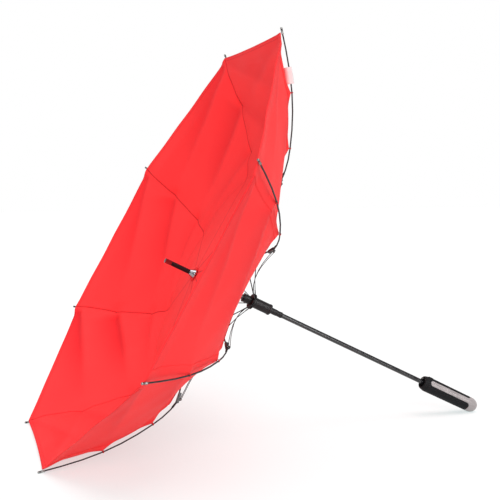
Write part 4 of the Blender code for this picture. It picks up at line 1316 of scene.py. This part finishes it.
@dataclass
class Hardware:
    """Tip caps, clip pins and springs: the small metal parts, in more detail than the frame has."""

    frame: UmbrellaFrame
    plane: RibPlane
    cap_radius: float = 0.0023
    cap_length: float = 0.0132
    cap_neck: float = 0.0020
    cap_rim: float = 0.0024
    cap_bore: float = 0.0016
    pin_radius: float = 0.0009
    pin_reach: float = 0.0034

    def tip_cap(self, rib: int) -> None:
        """A turned cap with a ball end, a neck and a rolled rim, over one rod's end.

        Args:
            rib: The rib, counted from 0.
        """
        bend, r, neck, rim = self.frame.bends[rib], self.cap_radius, self.cap_neck, self.cap_rim
        out, up = turned_about([self.plane.tip], self.plane.clip, bend)[0]
        place = self.frame.rib(rib) @ Matrix.Translation((out, 0, up))
        place = place @ Matrix.Rotation(math.pi / 2 - (self.plane.tip_slope + bend), 4, "Y")
        end = -self.cap_length
        turns = np.linspace(0.15, 2.2, 9)
        ball = [(r * math.sin(a), r * (math.cos(a) - 1) + 0.0001) for a in turns]
        rest = [(neck, -2.0 * r), (neck, end + 0.0012), (rim, end + 0.0009), (rim, end)]
        turned = lathe([*ball, *rest, (self.cap_bore, end)], 16, place)
        cap = mesh_object(f"tip_cap_{rib + 1}", *turned, NICKEL.material())
        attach(cap, f"outer_rib_{rib + 1}")

    def clip_pins(self, rib: int) -> None:
        """The two riveted pins of one clip: the outer rod's, and the stretcher's below it.

        Args:
            rib: The rib, counted from 0.
        """
        r, half = self.pin_radius, self.pin_reach
        head = [(0.0002, half), (0.8 * r, half - 0.0001), (1.5 * r, half - 0.0004)]
        outline = [*head, (1.5 * r, half - 0.0007), (r, half - 0.0007)]
        outline += [(radius, -height) for radius, height in reversed(outline)]
        turned = []
        for out, up in (self.plane.clip, self.plane.lug):
            place = self.frame.rib(rib) @ Matrix.Translation((out, 0, up))
            turned.append(lathe(outline, 12, place @ Matrix.Rotation(math.pi / 2, 4, "X")))
        pins = mesh_object(f"clip_pins_{rib + 1}", *joined(turned), SPRING_WIRE.material())
        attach(pins, f"inner_rib_{rib + 1}")

    def wind(self, coil: Coil) -> None:
        """Winds a spring and sets it in its node's place.

        Args:
            coil: The spring.
        """
        t = np.linspace(0, 1, coil.turns * coil.steps + 1)
        angle = 2 * math.pi * coil.turns * t
        height = coil.length * np.interp(t, *coil.wound)
        line = stacked(coil.radius * np.cos(angle), coil.radius * np.sin(angle), height)
        line = line[:, list(coil.axes)] + np.array(coil.foot)
        wire = tube(in_world(line, self.frame.matrix()), coil.wire, 6)
        spring = mesh_object(f"wound_{coil.node}", *wire, SPRING_WIRE.material())
        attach(spring, "frame")
        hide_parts(coil.node)
        foot = self.frame.matrix() @ Vector(coil.foot)
        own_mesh(spring)

    def build(self) -> None:
        """Makes all of them."""
        for rib in range(RIBS):
            self.tip_cap(rib)
            self.clip_pins(rib)
        self.wind(OPENING_SPRING)
        self.wind(CATCH_SPRING)


@dataclass
class ClothTrim:
    """The gathered cloth washer under the ferrule cone, and the label on the first rib."""

    frame: UmbrellaFrame
    plane: RibPlane
    washer_radius: float = 0.0150
    washer_bore: float = 0.0056
    washer_cloth: float = 0.0004
    washer_grid: tuple[int, int] = (9, 97)
    # How high it lies at its bore, and how much it rises to its edge
    washer_height: tuple[float, float] = (-0.0003, 0.0012)
    washer_folds: int = 11
    washer_fold: float = 0.0011
    washer_scallop: float = 0.035
    washer_hem: float = 0.006
    label_length: float = 0.033
    label_share: float = 0.29
    label_reach: float = 0.0150
    label_tape: float = 0.00025
    label_grid: tuple[int, int] = (25, 31)
    # How far beside the rib's plane it hangs, and how far below the cloth's edge it starts
    label_beside: float = 0.0022
    label_below: float = 0.0003

    def washer(self) -> None:
        """A disc of canopy cloth, cut with a wavy edge and gathered on the shaft."""
        rows, columns = self.washer_grid
        r = np.linspace(self.washer_bore, self.washer_radius, rows)[:, None]
        t = np.linspace(0, 2 * math.pi, columns)[None]
        open_ = (r - self.washer_bore) / (self.washer_radius - self.washer_bore)
        wave = np.sin(self.washer_folds * t + 0.4 * np.sin(3 * t)) * self.washer_fold * open_**1.2
        scallop = (1 - np.cos(2 * self.washer_folds * t)) / 2
        edge = r * (1 - self.washer_scallop * open_ * scallop)
        low, rise = self.washer_height
        grid = stacked(edge * np.cos(t), edge * np.sin(t), low + rise * open_**2 + wave * 0.9)
        washer = sheet_object(
            "gathered_cloth_washer",
            in_world(grid, self.frame.matrix()),
            CLOTH,
            (grid[..., 0], grid[..., 1]),
            {"from_seam": 1.0, "from_rim": self.washer_radius - r + self.washer_hem},
            self.washer_cloth,
        )
        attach(washer, "frame")
        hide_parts("rosette")

    def label(self) -> None:
        """A bare tape, folded double and sewn in the seam beside the rod of the first rib."""
        edge, draw = self.plane.outer_edge(0.0)
        after = 2 * self.plane.steps
        place = after + round(self.label_share * (len(edge) - 1 - after))
        seam = (edge + draw)[place]
        lean = slope(tuple(edge[place - 4]), tuple(edge[place + 4]))
        (rows, columns), deep = self.label_grid, self.label_reach
        path = np.linspace(0, 2 * deep, rows)[:, None]
        x = (np.linspace(0, 1, columns)[None] - 0.5) * self.label_length
        down = np.where(path < deep, path, 2 * deep - path)
        loft = np.minimum(0.00022 + 0.0004 * np.sin(math.pi * down / deep), down + 0.0001)
        layer = np.where(path < deep, -1, 1) * loft * np.clip((deep - down) / 0.0006, 0, 1) ** 0.5
        sway = 0.0009 * np.sin(math.pi * x / self.label_length * 1.4 + 0.8) * down / deep
        side = layer - self.label_beside - 0.0006 * (down / deep) ** 2 - sway
        below = down + self.label_below
        out = seam[0] + x * math.cos(lean) + below * math.sin(lean)
        up = seam[1] + x * math.sin(lean) - below * math.cos(lean)
        tape = sheet_object(
            "folded_label_tape",
            in_world(stacked(out, side, up), self.frame.rib(0)),
            LABEL_TAPE,
            (x, path),
            {"from_seam": down},
            self.label_tape,
        )
        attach(tape, "outer_rib_1")
        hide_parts("care_label")

    def build(self) -> None:
        """Makes both."""
        self.washer()
        self.label()


@dataclass
class RigidPieces:
    """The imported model's own rigid pieces, and their finishes."""

    frame: UmbrellaFrame
    plane: RibPlane
    clip_length: float = 0.0172
    dipped_root: float = 0.0275

    def finishes(self) -> dict[str, Finish]:
        """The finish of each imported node.

        Returns:
            Finishes by the start of a node's name. The longest start that fits counts.
        """
        axis = {"base": tuple(self.frame.base), "up": tuple(self.frame.up)}
        clip = {"edge": self.plane.clip[0] - self.clip_length, **axis}
        name = "pultruded_fibreglass_in_abs_clip"
        inner_rod = EndedFinish(name, FIBREGLASS.colour, 0.42, Way.DRAWN, **clip)
        root = {"edge": self.dipped_root, "beyond": False, **axis}
        name = "blackened_steel_wire_with_dipped_root"
        stretcher = EndedFinish(name, "#262426", 0.36, Way.DRAWN, specular=0.35, **root)
        return {
            "inner_rib": inner_rod,
            "outer_rib": FIBREGLASS,
            "stretcher": stretcher,
            "shaft": POWDER_COAT,
            "ferrule": CHROME,
            "handle_body": SOFT_TOUCH,
            "handle_trim": GREY_TRIM,
            **dict.fromkeys(("shaft_plug", "crown", "ferrule_tube", "push_button"), ABS),
            **dict.fromkeys(("runner", "spring_plunger"), ABS),
            **dict.fromkeys(("crown_wire", "runner_wire", "runner_drive_pin"), SPRING_WIRE),
            **dict.fromkeys(("runner_catch", "catch_pin"), SPRING_WIRE),
        }

    def build(self, nodes: Mapping[str, bpy.types.Object]) -> None:
        """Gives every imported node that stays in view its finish.

        Args:
            nodes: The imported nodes.
        """
        finishes = self.finishes()
        for name, obj in nodes.items():
            if obj.hide_render:
                continue
            known = max((key for key in finishes if name.startswith(key)), key=len)
            obj.data.materials.clear()
            obj.data.materials.append(finishes[known].material())
            LOG.info("%s: %s", name, finishes[known].name)


@dataclass
class Studio:
    """The plain room: a pale floor, soft light from above and the photo's camera."""

    crown: Vector
    lens: float = 68.295
    pitch: float = 0.07358
    yaw: float = 0.29416
    stand: Vector = field(default_factory=lambda: Vector((-0.45821, -1.91228, 0.19495)))
    room_light: float = 0.76
    # In a reflection the walls are dimmer, and a round window draws the bright line on the shaft
    window_at: tuple[float, float, float] = (0.52, -0.8, 0.3)
    window_edge: tuple[float, float] = (math.radians(13), math.radians(9))
    reflected_wall: float = 0.4
    reflected_window: float = 13.0
    floor_half: float = 14.0
    # Just under the object, so that none of its faces lies in the floor
    floor_height: float = -0.0004

    def camera(self) -> None:
        """Sets the camera from where the photo was taken."""
        data = bpy.data.cameras.new("camera")
        data.lens, data.sensor_width = self.lens, 36.0
        data.clip_start, data.clip_end = 0.01, 100
        camera = bpy.data.objects.new("camera", data)
        bpy.context.scene.collection.objects.link(camera)
        level = math.cos(self.pitch)
        ahead = (math.sin(self.yaw) * level, math.cos(self.yaw) * level, -math.sin(self.pitch))
        camera.location = self.crown + self.stand
        camera.rotation_euler = Vector(ahead).to_track_quat("-Z", "Y").to_euler()
        bpy.context.scene.camera = camera

    def reflected(self, tree: Tree) -> Source:
        """How bright each direction of the room is in a reflection.

        Args:
            tree: The world's nodes.

        Returns:
            The strength.
        """
        where = add_node(tree, "TexCoord").outputs["Generated"]
        ahead = tuple(Vector(self.window_at).normalized())
        near = add_node(tree, "VectorMath", {"operation": "DOT_PRODUCT", 1: ahead}, {0: where})
        edge = (math.cos(angle) for angle in self.window_edge)
        tones = dict(zip(LIMITS, (*edge, self.reflected_wall, self.reflected_window)))
        return add_node(tree, "MapRange", tones, {"Value": near.outputs["Value"]})

    def world(self) -> None:
        """A white room that lights the object evenly."""
        world = bpy.data.worlds.new("white_room")
        bpy.context.scene.world = world
        world.use_nodes = True
        tree = world.node_tree
        background = tree.nodes["Background"]
        background.inputs["Color"].default_value = (1, 1, 1, 1)
        path = add_node(tree, "LightPath").outputs
        seen = {"To Min": self.room_light, "To Max": 1.0}
        direct = add_node(tree, "MapRange", seen, {"Value": path["Is Camera Ray"]})
        parts = {0: path["Is Glossy Ray"], 2: direct, 3: self.reflected(tree)}
        link(tree, add_node(tree, "Mix", {}, parts), background, "Strength")

    def floor(self) -> None:
        """A pale floor that looks white and keeps the object's shadow."""
        half, low = self.floor_half, self.floor_height
        sides = ((-half, -half), (half, -half), (half, half), (-half, half))
        corners = np.array([(x, y, low) for x, y in sides])
        mesh_object("floor", corners, [(0, 1, 2, 3)], LitPaint().material())

    def lamp(
        self, name: str, direction: Sequence[float], softness: float, strength: float
    ) -> None:
        """One large far-off lamp, the same all over the floor.

        Args:
            name: The lamp's name.
            direction: Where it stands, seen from the umbrella.
            softness: How wide it looks, in degrees.
            strength: Its strength in watts per square metre.
        """
        data = bpy.data.lights.new(name, "SUN")
        data.angle, data.energy = math.radians(softness), strength
        lamp = bpy.data.objects.new(name, data)
        bpy.context.scene.collection.objects.link(lamp)
        lamp.location = direction
        lamp.rotation_euler = (-Vector(direction)).to_track_quat("-Z", "Y").to_euler()

    def build(self) -> None:
        """Sets up the whole room."""
        bpy.context.scene.view_settings.view_transform = "Standard"
        self.camera()
        self.world()
        self.floor()
        self.lamp("window", (-0.15, -0.8, 0.4), 24.0, 1.1)
        self.lamp("ceiling", (0.2, -0.1, 1.0), 40.0, 1.2)


def main() -> None:
    """Builds the room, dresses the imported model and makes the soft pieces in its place."""
    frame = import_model()
    umbrella = UmbrellaFrame.from_joints(frame["joints"])
    plane = RibPlane()
    Studio(umbrella.base).build()
    LOG.info("camera and room set")
    Canopy(umbrella, plane).build()
    Hardware(umbrella, plane).build()
    ClothTrim(umbrella, plane).build()
    RigidPieces(umbrella, plane).build(frame["nodes"])


if __name__ == "__main__":
    logging.basicConfig(level=logging.INFO, format="%(message)s")
    main()
